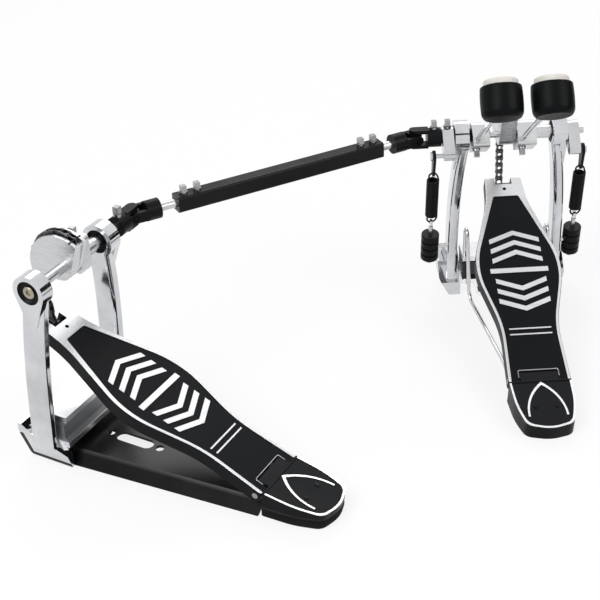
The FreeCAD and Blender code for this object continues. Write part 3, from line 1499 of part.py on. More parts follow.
def make_joints():
    """Both joints: an axle yoke, a cross square to the link, and a link yoke turned a quarter."""
    main, second, turn, _ = joint_places()
    quarter = turned(X, QUARTER_TURN)
    from_main = turned(Z, turn, main)
    from_second = turned(Z, turn + HALF_TURN, second)
    make_yoke("sub_axle_yoke", turned(Z, 0, main), "sizes.sleeve_radius", "sizes.fit_gap")
    make_yoke("second_axle_yoke", turned(Z, v.second_turn_angle + HALF_TURN, second),
              "sizes.second_axle_radius", "sizes.fit_gap")
    make_cross("main_joint_cross", from_main)
    make_cross("second_joint_cross", from_second)
    make_yoke("main_link_yoke", from_main * quarter, "sizes.link_rod_radius", "sizes.open_pivot_gap")
    make_yoke("second_link_yoke", from_second * quarter, "sizes.link_rod_radius", "sizes.open_pivot_gap")


def make_link():
    """The square tube, the rods that slide in it and the four screws that hold them."""
    main, _, turn, length = joint_places()
    place = turned(Z, turn, main)
    socket = v.fork_depth + v.socket_floor + v.fit_gap
    tube_end = length - v.link_tube_end
    body = new_body("link_tube")
    half = v.link_tube_side / 2
    section = box_outline(-half, -half, half, half, v.link_tube_corner)
    tube = pad(body, new_sketch(body, "YZ_Plane", [section], "sizes.link_tube_start"),
               "sizes.link_tube_start")
    tube.setExpression("Length", None)
    tube.Length = tube_end - v.link_tube_start
    pocket(body, round_sketch(body, "YZ_Plane", [(0, 0)], "sizes.link_rod_radius + sizes.fit_gap"), None,
           True)
    first = v.link_tube_start + v.link_bolt_inset
    last = tube_end - v.link_bolt_inset
    spots = [first, first + v.link_bolt_step, last - v.link_bolt_step, last]
    pocket(body, round_sketch(body, "XY_Plane", [(x, 0) for x in spots], "sizes.bolt_radius + sizes.fit_gap",
                              "sizes.link_tube_side / 2"), "sizes.link_tube_side / 2")
    keep(body, "link_tube", place)
    inside = v.link_tube_start + v.link_rod_inside
    keep_shape("main_link_rod", Part.makeCylinder(v.link_rod_radius, inside - socket, Vector(socket, 0, 0),
                                                  X), place)
    low = tube_end - v.link_rod_inside
    keep_shape("second_link_rod", Part.makeCylinder(v.link_rod_radius, length - socket - low,
                                                    Vector(low, 0, 0), X), place)
    shank = half - v.link_rod_radius - v.side_gap
    bolts = [key_bolt(moved(x, 0, half), shank) for x in spots]
    keep_shape("link_key_bolts", Part.makeCompound(bolts), place)


def make_pedal(pedal):
    """What both pedals have."""
    make_post(pedal, -1, pedal.name + "_left_post")
    make_post(pedal, 1, pedal.name + "_right_post")
    make_bridge(pedal, pedal.name + "_bridge")
    make_heel_plate(pedal, pedal.name + "_heel_plate")
    make_footboard(pedal, pedal.name + "_footboard")
    make_cam(pedal, pedal.name + "_cam", "sizes.axle_radius" if pedal is MAIN else "sizes.second_axle_radius")
    make_chain(pedal)


def make_all():
    for pedal in (MAIN, SECOND):
        make_pedal(pedal)
    make_bearings()
    make_hinge_pins()
    make_frame_fasteners()
    make_jaw()
    make_wing_screw()
    make_radius_rods()
    make_base_plate()
    make_base_pads()
    make_axles()
    make_hub("main_beater_hub", "main", "hub_width", "sizes.axle_radius")
    make_hub("sub_beater_hub", "sub", "sub_hub_width", "sizes.sleeve_radius")
    make_beater("main", v.main_hub_x)
    make_beater("sub", v.sub_hub_x)
    make_key_bolts()
    make_rocker("main_spring_rocker", 1, v.main_spring_x, "sizes.axle_radius")
    make_rocker("sub_spring_rocker", -1, v.sub_spring_x, "sizes.sleeve_radius")
    for name, spring_x in (("main", v.main_spring_x), ("sub", v.sub_spring_x)):
        make_hook(name + "_spring_hook", spring_x)
        make_spring(name + "_spring", spring_x)
    make_eye_bolts()
    make_barrels()
    make_joints()
    make_link()


def check_and_write():
    """Writes every sub-part after checking the document and each shape."""
    doc.recompute()
    for obj in doc.Objects:
        if "Invalid" in obj.State or "Error" in obj.State:
            raise RuntimeError("%s failed: %s" % (obj.Label, obj.State))
    for node in nodes:
        if node.Shape.isNull() or not node.Shape.isValid():
            raise RuntimeError("%s has no valid shape" % node.Label)
    os.makedirs("parts", exist_ok=True)
    for node in nodes:
        node.Shape.exportStep("parts/%s.step" % node.Label)
    print("%d sub-parts, footboard tilt %.2f, chain touches at %.2f, spring lean %.2f, rocker at %.2f" % (
        len(nodes), BOARD_TILT, CHAIN_TOUCH, SPRING_LEAN, ROCKER_REST))


make_all()
check_and_write()
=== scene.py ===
import math

import bmesh
import bpy
import numpy as np
from bpy.props import FloatProperty, FloatVectorProperty, IntProperty, PointerProperty
from bpy.types import Operator, Panel, PropertyGroup
from mathutils import Matrix, Vector


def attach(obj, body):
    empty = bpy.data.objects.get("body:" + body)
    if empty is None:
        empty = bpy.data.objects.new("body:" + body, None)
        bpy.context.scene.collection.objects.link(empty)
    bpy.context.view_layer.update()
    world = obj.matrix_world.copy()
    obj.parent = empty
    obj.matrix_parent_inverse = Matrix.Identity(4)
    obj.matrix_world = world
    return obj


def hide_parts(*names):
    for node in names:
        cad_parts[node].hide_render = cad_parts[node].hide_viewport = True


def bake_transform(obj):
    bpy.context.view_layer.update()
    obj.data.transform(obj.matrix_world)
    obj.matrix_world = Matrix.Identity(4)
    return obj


bl_info = {
    "name": "Double bass drum pedal",
    "version": (1, 0, 0),
    "blender": (4, 5, 0),
    "location": "3D View > Sidebar > Pedal",
    "description": "Finishes and soft pieces of a double bass drum pedal",
    "category": "Object",
}

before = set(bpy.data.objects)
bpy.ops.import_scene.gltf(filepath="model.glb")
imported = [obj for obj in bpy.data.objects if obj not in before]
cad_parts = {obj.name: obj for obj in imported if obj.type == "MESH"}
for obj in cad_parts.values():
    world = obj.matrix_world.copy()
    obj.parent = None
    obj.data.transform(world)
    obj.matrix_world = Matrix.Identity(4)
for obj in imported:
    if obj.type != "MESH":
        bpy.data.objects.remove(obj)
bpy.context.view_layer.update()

MM = 0.001
WHITE = (1.0, 1.0, 1.0, 1.0)

# Places and slants that the pedals' frames are built from.

AXLE = Vector((0, 0, 200 * MM))
HINGE = Vector((0, -211.3 * MM, 23 * MM))
SECOND_ORIGIN = Vector((-455.4 * MM, -228.9 * MM, 0))
SECOND_TURN = math.radians(57.9)
BOARD_TILT = math.radians(23.21)
HEEL_TILT = math.radians(11)
BEATER_LEAN = math.radians(53)
SPRING_LEAN = math.radians(9.885)
BARREL_HEIGHT = 66 * MM

# Heights and edges that the finishes and the trim follow.

PLATE_TOP = 7 * MM
BOARD_TREAD = PLATE_TOP - 0.4 * MM
HEEL_TREAD = PLATE_TOP - 0.35 * MM
BASE_TOP = 12 * MM
BASE_SHEET = 3 * MM
BASE_FRONT = -15.4 * MM
BASE_HALF = 47.5 * MM
BASE_FOLD = 35 * MM
# The bridges' sunk band lies between these two heights; its darker colour is painted shade.
BRIDGE_BAND = (26.4 * MM, 49.6 * MM)
HEEL_SCREWS_FROM = -195 * MM
HEEL_SCREWS_HALF = 55 * MM

# A heel plate is black in front of a line; a footboard has no such end, so its line lies far beyond it.

HEEL_BLACK_FROM = -9.0 * MM
BOARD_BLACK_FROM = 1.0


# Frames of the pedals, as matrices from local to world.


def main_pedal():
    """The main pedal's frame is the world's."""
    return Matrix.Identity(4)


def second_pedal():
    """The second pedal stands turned about the upright axis."""
    return Matrix.Translation(SECOND_ORIGIN) @ Matrix.Rotation(SECOND_TURN, 4, "Z")


def tilted(pedal, tilt):
    """A frame at a pedal's heel hinge, tilted about the hinge pin."""
    return pedal @ Matrix.Translation(HINGE) @ Matrix.Rotation(tilt, 4, "X")


def beater_frame(across):
    """A frame at the axle, leaning with the beater, its z along the shaft."""
    return Matrix.Translation(AXLE + Vector((across, 0, 0))) @ Matrix.Rotation(BEATER_LEAN, 4, "X")


def spring_frame(across):
    """A frame at a tension barrel's middle, its z along the spring."""
    start = Vector((across, 0, BARREL_HEIGHT))
    return Matrix.Translation(start) @ Matrix.Rotation(SPRING_LEAN, 4, "X")


# Surfaces on grids.


def grid_quads(rows, columns, closed):
    """Quads of a grid of points, row by row, the last column joined to the first if closed."""
    steps = columns if closed else columns - 1
    row, column = np.meshgrid(np.arange(rows - 1), np.arange(steps), indexing="ij")
    after = (column + 1) % columns
    corners = [row * columns + column, row * columns + after,
               (row + 1) * columns + after, (row + 1) * columns + column]
    return np.stack(corners, axis=-1).reshape(-1, 4)


def make_piece(name, points, quads, place, material, body, smooth=True):
    """A mesh piece from points in a local frame, with doubles merged and faces turned outwards."""
    turn = np.array(place.to_3x3())
    world = points.reshape(-1, 3) @ turn.T + np.array(place.translation)
    mesh = bpy.data.meshes.new(name)
    mesh.from_pydata(world, [], quads)
    build = bmesh.new()
    build.from_mesh(mesh)
    bmesh.ops.remove_doubles(build, verts=build.verts, dist=1e-6)
    bmesh.ops.dissolve_degenerate(build, edges=build.edges, dist=1e-7)
    bmesh.ops.recalc_face_normals(build, faces=build.faces)
    build.to_mesh(mesh)
    build.free()
    mesh.polygons.foreach_set("use_smooth", np.full(len(mesh.polygons), smooth))
    mesh.materials.append(material)
    piece = bpy.data.objects.new(name, mesh)
    bpy.context.scene.collection.objects.link(piece)
    if body:
        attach(piece, body)
    return piece


def make_rings(name, rings, place, material, body, smooth=True):
    """A mesh piece whose rows of points are closed rings."""
    return make_piece(name, rings, grid_quads(*rings.shape[:2], True), place, material, body, smooth)


def circle(count):
    """Angles evenly spread round a full turn."""
    return np.linspace(0, 2 * np.pi, count, endpoint=False)


def lathe(profile, count):
    """A profile of (r, h) turned about y: (r cos a, h, r sin a) for every profile point and angle."""
    angle = circle(count)
    radii, heights = profile[:, :1], profile[:, 1:]
    return np.stack([radii * np.cos(angle), np.repeat(heights, count, 1), radii * np.sin(angle)], axis=-1)


def soft_corners(corners, steps):
    """A profile with each corner (r, h, round) replaced by a quadratic bend of that reach."""
    share = np.linspace(0, 1, steps)
    parts = [np.array(corners[0][:2])[None]]
    for before, here, after in zip(corners, corners[1:], corners[2:]):
        corner = np.array(here[:2])
        back = np.array(before[:2]) - corner
        on = np.array(after[:2]) - corner
        start = corner + back / np.linalg.norm(back) * here[2]
        end = corner + on / np.linalg.norm(on) * here[2]
        bend = [(1 - share) ** 2, 2 * share * (1 - share), share ** 2]
        parts.append(sum(w[:, None] * p for w, p in zip(bend, (start, corner, end))))
    parts.append(np.array(corners[-1][:2])[None])
    return np.concatenate(parts)


def even_run(corners, steps, count, closed=False):
    """A run with rounded corners, its points evenly spread; a closed run leaves its last point out."""
    bends = soft_corners(corners, steps)
    reach = np.concatenate([[0], np.cumsum(np.linalg.norm(np.diff(bends, axis=0), axis=1))])
    along = np.linspace(0, reach[-1], count, endpoint=not closed)
    return np.stack([np.interp(along, reach, bends[:, axis]) for axis in (0, 1)], axis=-1)


def tube(path, lead, radius, sides):
    """Rings about a path: C(s) + r (cos a N + sin a B), N across the tangent and the lead vector.

    Each end closes in a dome: the ring's radius falls as a quarter circle while it moves on.
    """
    tangent = np.gradient(path, axis=0)
    tangent /= np.linalg.norm(tangent, axis=1)[:, None]
    dome = np.linspace(0, np.pi / 2, 6)[1:]
    first = path[:1] - tangent[:1] * radius * np.sin(dome[::-1])[:, None]
    last = path[-1:] + tangent[-1:] * radius * np.sin(dome)[:, None]
    line = np.concatenate([first, path, last])
    size = np.concatenate([np.cos(dome[::-1]), np.ones(len(path)), np.cos(dome)]) * radius
    pads = ((len(dome), len(dome)), (0, 0))
    tangent = np.pad(tangent, pads, "edge")
    across = np.cross(tangent, np.pad(lead, pads, "edge"))
    across /= np.linalg.norm(across, axis=1)[:, None]
    up = np.cross(tangent, across)
    angle = circle(sides)
    ring = across[:, None] * np.cos(angle)[:, None] + up[:, None] * np.sin(angle)[:, None]
    return line[:, None] + ring * size[:, None, None]


def flat_strip(run, half, low, high):
    """A rectangular section carried along a flat run: run +- half across it, from low to high out of it.

    Both ends close on the section's middle.
    """
    along = np.gradient(run, axis=0)
    along /= np.linalg.norm(along, axis=1)[:, None]
    across = np.stack([-along[:, 1], along[:, 0]], axis=-1) * half
    sides = np.stack([run + across, run - across, run - across, run + across], axis=1)
    rise = np.broadcast_to(np.array([low, low, high, high])[None, :, None], (len(run), 4, 1))
    rows = np.concatenate([sides, rise], axis=-1)
    caps = np.repeat(rows[[0, -1]].mean(axis=1, keepdims=True), 4, axis=1)
    return np.concatenate([caps[:1], rows, caps[1:]])


# Node trees.


class Tree:
    """A node tree being drawn: nodes by kind, each input a value or another node's socket."""

    def __init__(self, tree):
        self.tree = tree

    def add(self, kind, inputs=None, **settings):
        """A new node of a kind, with its settings and its inputs."""
        node = self.tree.nodes.new(kind)
        for name, value in settings.items():
            setattr(node, name, value)
        for name, value in (inputs or {}).items():
            self.put(node.inputs[name], value)
        return node

    def put(self, socket, value):
        """Gives a socket its value, or links another node's socket to it."""
        if isinstance(value, bpy.types.NodeSocket):
            self.tree.links.new(value, socket)
        else:
            socket.default_value = value

    def math(self, operation, first, second=0.0):
        """The result of an operation on two values."""
        return self.add("ShaderNodeMath", {0: first, 1: second}, operation=operation).outputs[0]

    def noise(self, vector, scale, detail=3.0, roughness=0.5):
        """Noise between 0 and 1 at a scale."""
        inputs = {"Vector": vector, "Scale": scale, "Detail": detail, "Roughness": roughness}
        return self.add("ShaderNodeTexNoise", inputs).outputs["Fac"]

    def span(self, value, low, high, start=0.0, end=1.0):
        """A value from low to high spread over start to end."""
        inputs = {"Value": value, "From Min": low, "From Max": high, "To Min": start, "To Max": end}
        return self.add("ShaderNodeMapRange", inputs).outputs["Result"]

    def between(self, share, start, end):
        """The value at a share of the way from start to end."""
        return self.span(share, 0.0, 1.0, start, end)

    def mix(self, share, first, second):
        """Two colours mixed by a share."""
        inputs = {"Factor": share, 6: first, 7: second}
        return self.add("ShaderNodeMix", inputs, data_type="RGBA").outputs[2]

    def split(self, vector):
        """A vector's X, Y and Z."""
        return self.add("ShaderNodeSeparateXYZ", {"Vector": vector}).outputs

    def stretched(self, vector, scale):
        """A vector scaled axis by axis."""
        inputs = {"Vector": vector, "Scale": scale}
        return self.add("ShaderNodeMapping", inputs, vector_type="POINT").outputs["Vector"]

    def local(self, vector, place):
        """World coordinates turned into a local frame's."""
        inputs = {"Vector": vector, "Location": place.translation, "Rotation": place.to_euler("XYZ")}
        return self.add("ShaderNodeMapping", inputs, vector_type="TEXTURE").outputs["Vector"]

    def effect(self, group, inputs):
        """The outputs of a shared node group with these inputs."""
        node = self.add("ShaderNodeGroup", node_tree=group)
        for name, value in inputs.items():
            self.put(node.inputs[name], value)
        return node.outputs

    def seen(self):
        """One for rays of the camera, of reflections and of glass, and zero for other light."""
        path = self.add("ShaderNodeLightPath").outputs
        seen = self.math("MAXIMUM", path["Is Camera Ray"], path["Is Glossy Ray"])
        return self.math("MAXIMUM", seen, path["Is Transmission Ray"])


def shared_group(name, inputs, outputs, draw):
    """A node group that is built once; draw lays the nodes between its inputs and its outputs."""
    if name in bpy.data.node_groups:
        return bpy.data.node_groups[name]
    group = bpy.data.node_groups.new(name, "ShaderNodeTree")
    group.interface.new_socket("Vector", in_out="INPUT", socket_type="NodeSocketVector")
    for label, kind, value in inputs:
        group.interface.new_socket(label, in_out="INPUT", socket_type=kind).default_value = value
    for label in outputs:
        group.interface.new_socket(label, in_out="OUTPUT", socket_type="NodeSocketFloat")
    tree = Tree(group)
    draw(tree, tree.add("NodeGroupInput").outputs, tree.add("NodeGroupOutput").inputs)
    return group


def handling_marks():
    """Broad smudges and fine specks of a handled surface, each from 0 to 1."""
    finer = 18.0

    def draw(tree, given, made):
        broad = tree.noise(given["Vector"], given["Scale"], 4.0, 0.6)
        fine = tree.noise(given["Vector"], tree.math("MULTIPLY", given["Scale"], finer), 2.0, 0.5)
        tree.put(made["Smudge"], tree.span(broad, 0.35, 0.65))
        tree.put(made["Speck"], tree.span(fine, 0.55, 0.8))

    return shared_group("handling_marks", [("Scale", "NodeSocketFloat", 20.0)], ["Smudge", "Speck"], draw)


def brushed_lines():
    """Fine parallel lines of a brushed metal: noise squeezed along the brushing direction."""
    squeeze = ("Squeeze", "NodeSocketVector", (30.0, 900.0, 30.0))

    def draw(tree, given, made):
        inputs = {0: given["Vector"], 1: given["Squeeze"]}
        mapped = tree.add("ShaderNodeVectorMath", inputs, operation="MULTIPLY").outputs[0]
        tree.put(made["Line"], tree.span(tree.noise(mapped, 1.0, 2.0, 0.6), 0.3, 0.7))

    return shared_group("brushed_lines", [squeeze], ["Line"], draw)


def coat_grain():
    """The orange-peel grain of a sprayed coat, as a height from 0 to 1."""

    def draw(tree, given, made):
        tree.put(made["Height"], tree.noise(given["Vector"], given["Scale"], 2.0, 0.55))

    return shared_group("coat_grain", [("Scale", "NodeSocketFloat", 900.0)], ["Height"], draw)


# Finishes.

POLISH_WAVES = 45.0
BLUR = 0.1 * MM
SMUDGED = 0.8
DUSTY = 1.5


def shaded(colour, share):
    """A colour made darker or paler by a share."""
    return [part * share for part in colour[:3]] + [1.0]


def new_finish(name, metallic=0.0, gloss=0.5):
    """A material with its shader; gives the material, its tree, the shader and Object coordinates."""
    material = bpy.data.materials.new(name)
    material.use_nodes = True
    shader = material.node_tree.nodes["Principled BSDF"]
    shader.inputs["Metallic"].default_value = metallic
    shader.inputs["Specular IOR Level"].default_value = gloss
    tree = Tree(material.node_tree)
    return material, tree, shader, tree.add("ShaderNodeTexCoord").outputs["Object"]


def shine(tree, shader, roughness, height, strength, distance=0.2 * MM):
    """Sets a shader's roughness and the bump that feeds its normal."""
    tree.put(shader.inputs["Roughness"], roughness)
    bump = tree.add("ShaderNodeBump", {"Height": height, "Strength": strength, "Distance": distance})
    tree.put(shader.inputs["Normal"], bump.outputs["Normal"])


def plated(name, colour, low, high, scale=18.0):
    """Plated metal: smudges that dull it from low to high roughness, and faint waves of polishing."""
    material, tree, shader, at = new_finish(name, metallic=1.0)
    smudge = tree.effect(handling_marks(), {"Vector": at, "Scale": scale})["Smudge"]
    tree.put(shader.inputs["Base Color"], tree.mix(smudge, colour, shaded(colour, SMUDGED)))
    shine(tree, shader, tree.between(smudge, low, high), tree.noise(at, POLISH_WAVES, 2.0), 0.18)
    return material


def recessed(name, colour, lip, shade, low, high):
    """Plated metal with a sunk band between two lips: the band in painted shade and duller, the lower lip its
    own.
    """
    band_low, band_high = BRIDGE_BAND
    blur, duller, worn = 2 * BLUR, 0.2, 0.75
    material, tree, shader, at = new_finish(name, metallic=1.0)
    height = tree.split(at)["Z"]
    # above and sunk mask the lower lip and the band; the band gets painted shade and more roughness.
    above = tree.span(height, band_low - blur, band_low + blur)
    sunk = tree.math("MULTIPLY", above, tree.span(height, band_high + blur, band_high - blur))
    smudge = tree.effect(handling_marks(), {"Vector": at, "Scale": 18.0})["Smudge"]
    lips = tree.mix(above, lip, tree.mix(smudge, colour, shaded(colour, worn)))
    # Painted shade: the band's colour is the plated colour darkened by the share shade.
    tree.put(shader.inputs["Base Color"], tree.mix(sunk, lips, shaded(colour, shade)))
    dull = tree.math("ADD", tree.between(smudge, low, high), tree.math("MULTIPLY", sunk, duller))
    shine(tree, shader, dull, tree.noise(at, POLISH_WAVES, 2.0), 0.1)
    return material


def satin(name, colour, low, high):
    """Sand-blasted and lightly brushed metal: an even grain with brushed lines across it."""
    material, tree, shader, at = new_finish(name, metallic=1.0)
    lines = tree.effect(brushed_lines(), {"Vector": at, "Squeeze": (60.0, 60.0, 500.0)})["Line"]
    grain = tree.effect(coat_grain(), {"Vector": at, "Scale": 2000.0})["Height"]
    tree.put(shader.inputs["Base Color"], tree.mix(lines, colour, shaded(colour, 0.92)))
    shine(tree, shader, tree.between(lines, low, high), grain, 0.02)
    return material


def coated(name, colour, low, high, scale=900.0, strength=0.1, gloss=0.1):
    """A black sprayed coat: fine grain, and smudges that take its roughness from low to high."""
    material, tree, shader, at = new_finish(name, gloss=gloss)
    marks = tree.effect(handling_marks(), {"Vector": at, "Scale": 25.0})
    grain = tree.effect(coat_grain(), {"Vector": at, "Scale": scale})["Height"]
    tree.put(shader.inputs["Base Color"], tree.mix(marks["Speck"], colour, shaded(colour, DUSTY)))
    shine(tree, shader, tree.between(marks["Smudge"], low, high), grain, strength)
    return material


def folded_sheet(name, colour):
    """A black sheet with a clear coat on its level top that fades out down its folded sides."""
    material = coated(name, colour, low=0.26, high=0.38, gloss=0.05)
    tree = Tree(material.node_tree)
    shader = material.node_tree.nodes["Principled BSDF"]
    shader.inputs["Coat Roughness"].default_value = 0.3
    height = tree.split(tree.add("ShaderNodeTexCoord").outputs["Object"])["Z"]
    tree.put(shader.inputs["Coat Weight"], tree.span(height, BASE_TOP - BASE_SHEET, BASE_TOP, 0.0, 0.5))
    return material


def tread_plate(name, place, black, silver, edge, front):
    """Black sunk fields and sides, and bare brushed metal wherever the casting stands above an edge.

    What lies further forward than front stays black, as a heel plate's hinge tongue does.
    """
    material, tree, shader, at = new_finish(name, gloss=0.09)
    here = tree.local(at, place)
    spot = tree.split(here)
    proud = tree.span(spot["Z"], edge - BLUR, edge + BLUR)
    behind = tree.span(spot["Y"], front, front - BLUR)
    bare = tree.math("MULTIPLY", proud, behind)
    lines = tree.effect(brushed_lines(), {"Vector": here, "Squeeze": (40.0, 1100.0, 40.0)})["Line"]
    marks = tree.effect(handling_marks(), {"Vector": here, "Scale": 22.0})
    grain = tree.effect(coat_grain(), {"Vector": here, "Scale": 1400.0})["Height"]
    metal = tree.mix(lines, silver, shaded(silver, SMUDGED))
    paint = tree.mix(marks["Speck"], black, shaded(black, DUSTY))
    tree.put(shader.inputs["Base Color"], tree.mix(bare, paint, metal))
    tree.put(shader.inputs["Metallic"], tree.math("MULTIPLY", bare, 0.75))
    paint_rough = tree.between(marks["Smudge"], 0.36, 0.46)
    metal_rough = tree.between(lines, 0.26, 0.36)
    rough = tree.add("ShaderNodeMix", {"Factor": bare, "A": paint_rough, "B": metal_rough}).outputs[0]
    shine(tree, shader, rough, grain, 0.1)
    return material


def fasteners(name, colour, black):
    """Plain steel studs and screws, and blackened ones in the heel plates."""
    material, tree, shader, at = new_finish(name, gloss=0.1)
    fade = 5 * MM
    heels = []
    for pedal in (main_pedal(), second_pedal()):
        spot = tree.split(tree.local(at, pedal))
        behind = tree.span(spot["Y"], HEEL_SCREWS_FROM + fade, HEEL_SCREWS_FROM - fade)
        aside = tree.math("ABSOLUTE", spot["X"])
        near = tree.span(aside, HEEL_SCREWS_HALF + fade, HEEL_SCREWS_HALF - fade)
        heels.append(tree.math("MULTIPLY", behind, near))
    dark = tree.math("MAXIMUM", *heels)
    smudge = tree.effect(handling_marks(), {"Vector": at, "Scale": 60.0})["Smudge"]
    tree.put(shader.inputs["Base Color"], tree.mix(dark, colour, black))
    tree.put(shader.inputs["Metallic"], tree.math("SUBTRACT", 1.0, dark))
    shine(tree, shader, tree.between(smudge, 0.2, 0.34), tree.noise(at, 300.0, 2.0), 0.1)
    return material


def felted(name, colour):
    """Pressed wool: fibres at several scales, soft sheen and a little grime."""
    material, tree, shader, at = new_finish(name, gloss=0.2)
    fibre = tree.noise(tree.stretched(at, (1.0, 2.5, 1.0)), 700.0, 6.0, 0.75)
    cloud = tree.span(tree.noise(at, 120.0, 3.0), 0.3, 0.75)
    tree.put(shader.inputs["Base Color"], tree.mix(cloud, colour, shaded(colour, 0.86)))
    shader.inputs["Sheen Weight"].default_value = 0.25
    shine(tree, shader, tree.span(fibre, 0.2, 0.8, 0.85, 1.0), fibre, 0.5, 0.6 * MM)
    return material


# Settings.


def colour_field(name, description, value):
    """A colour that a user can change."""
    return FloatVectorProperty(name=name, description=description, subtype="COLOR", size=4,
                               min=0.0, max=1.0, default=value)


def length_field(name, description, value):
    """A length that a user can change, in metres."""
    return FloatProperty(name=name, description=description, subtype="DISTANCE", unit="LENGTH",
                         default=value, precision=4)


def angle_field(name, description, degrees):
    """An angle that a user can change."""
    return FloatProperty(name=name, description=description, subtype="ANGLE", default=math.radians(degrees))


class FinishSettings(PropertyGroup):
    """Colours of the finishes"""
    chrome: colour_field("Chrome", "Plated posts, rockers and rods", (0.66, 0.67, 0.69, 1.0))
    bridge: colour_field("Bridge", "Bright lips of the bridges", (0.92, 0.92, 0.93, 1.0))
    satin: colour_field("Satin", "Blasted cams and hubs", (0.62, 0.63, 0.64, 1.0))
    steel: colour_field("Steel", "Axles, shafts and screws", (0.62, 0.62, 0.63, 1.0))
    screw: colour_field("Screw", "Square-headed screws", (0.36, 0.36, 0.37, 1.0))
    black: colour_field("Black", "Sprayed steel parts", (0.0045, 0.0048, 0.0055, 1.0))
    field: colour_field("Field", "Sunk fields of the footboards", (0.0045, 0.0050, 0.0060, 1.0))
    silver: colour_field("Silver", "Bare edges and tread of the footboards", (0.80, 0.805, 0.82, 1.0))
    head: colour_field("Head", "Moulded beater heads", (0.0040, 0.0045, 0.0050, 1.0))
    felt: colour_field("Felt", "Felt faces of the beaters", (0.82, 0.80, 0.74, 1.0))
    rubber: colour_field("Rubber", "Pads under the base plate", (0.0080, 0.0080, 0.0085, 1.0))
    chain: colour_field("Chain", "Chain links", (0.10, 0.10, 0.105, 1.0))
    brass: colour_field("Brass", "Socket screw on the second axle", (0.42, 0.38, 0.30, 1.0))


class SpringSettings(PropertyGroup):
    """Places and sizes of the springs"""
    main_across: length_field("Main spring", "Place of the main spring along the axle", 76 * MM)
    sub_across: length_field("Second spring", "Place of the second spring along the axle", -84 * MM)
    coil_radius: length_field("Coil radius", "Radius of the wire's middle", 6 * MM)
    wire_radius: length_field("Wire radius", "Radius of the wire", 0.95 * MM)
    loop_radius: length_field("Loop radius", "Radius of the end loops", 4.6 * MM)
    low: length_field("Low", "Lowest wire above the barrel's middle", 33.95 * MM)
    high: length_field("High", "Highest wire above the barrel's middle", 101.19 * MM)
    turns: IntProperty(name="Turns", description="Turns of the coil", default=24, min=5)


class BeaterSettings(PropertyGroup):
    """Places and sizes of the beater heads"""
    main_across: length_field("Main beater", "Place of the main beater along the axle", 11 * MM)
    sub_across: length_field("Second beater", "Place of the second beater along the axle", -38 * MM)
    height: length_field("Height", "Height of the head's middle above the axle", 179 * MM)
    offset: length_field("Offset", "Shaft behind the axle", -10 * MM)
    radius: length_field("Radius", "Radius of the head", 20.8 * MM)
    back: length_field("Back", "Head behind the shaft", 12.4 * MM)
    front: length_field("Front", "Head before the shaft, up to the felt", 19.4 * MM)
    felt_radius: length_field("Felt radius", "Radius of the felt", 17.2 * MM)
    felt_depth: length_field("Felt depth", "Thickness of the felt", 7 * MM)


class StageSettings(PropertyGroup):
    """Camera and floor"""
    lens: FloatProperty(name="Lens", description="Focal length in millimetres",
                        subtype="DISTANCE_CAMERA", unit="CAMERA", default=85.8)
    azimuth: angle_field("Azimuth", "Camera's turn about the object", -1.95)
    elevation: angle_field("Elevation", "Camera above the horizon", 31.82)
    roll: angle_field("Roll", "Camera's roll", -2.16)
    distance: length_field("Distance", "Camera to target", 1.499)
    target: FloatVectorProperty(name="Target", description="Point in the middle of the view",
                                subtype="XYZ", unit="LENGTH", default=(-0.2365, -0.1193, 0.0774))
    floor_half: length_field("Floor", "Half of the floor's side", 8.0)
    floor_colour: colour_field("Floor colour", "Pale floor", (0.92, 0.92, 0.92, 1.0))


class PedalSettings(PropertyGroup):
    """All settings of the pedal"""
    finish: PointerProperty(type=FinishSettings)
    spring: PointerProperty(type=SpringSettings)
    beater: PointerProperty(type=BeaterSettings)
    stage: PointerProperty(type=StageSettings)


# Pieces.


def dress(material, *nodes):
    """Gives nodes of the frame one finish."""
    for node in nodes:
        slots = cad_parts[node].data.materials
        slots.clear()
        slots.append(material)


def both(*names):
    """The names of like nodes on both pedals."""
    return [pedal + "_" + name for name in names for pedal in ("main", "second")]


class PEDAL_OT_castings(Operator):
    """Plated posts, bridges, rockers, rods and hoop clamp, with their screws and bearings"""
    bl_idname = "pedal.castings"
    bl_label = "Castings"

    def execute(self, context):
        finish = context.scene.pedal.finish
        chrome = plated("plated_casting", finish.chrome, low=0.06, high=0.16)
        dress(chrome, *both("left_post", "right_post"), "main_spring_rocker", "sub_spring_rocker")
        # Both bridges get painted shade in their sunk band: near black on the main one, half dark on the
        # second.
        bright = recessed("recessed_bridge", finish.bridge, finish.bridge, shade=0.06, low=0.08, high=0.18)
        dress(bright, "main_bridge")
        dull = recessed("dull_bridge", finish.chrome, finish.bridge, shade=0.5, low=0.28, high=0.4)
        dress(dull, "second_bridge")
        rod = plated("plated_rod", finish.chrome, low=0.05, high=0.12, scale=30.0)
        dress(rod, "radius_rods", "main_beater_shaft", "sub_beater_shaft")
        steel = plated("plated_steel", finish.steel, low=0.16, high=0.3, scale=40.0)
        dress(steel, *both("axle", "link_rod"), "hoop_jaw", "wing_screw", "spring_eye_bolts")
        screw = plated("plated_screw", finish.screw, low=0.14, high=0.26, scale=60.0)
        dress(screw, *both("key_bolts"), "sub_key_bolts", "link_key_bolts", "hinge_pins")
        dress(fasteners("frame_screws", finish.steel, finish.black), "frame_fasteners")
        dress(coated("bearing_seal", finish.black, low=0.35, high=0.5), "bearings")
        return {"FINISHED"}


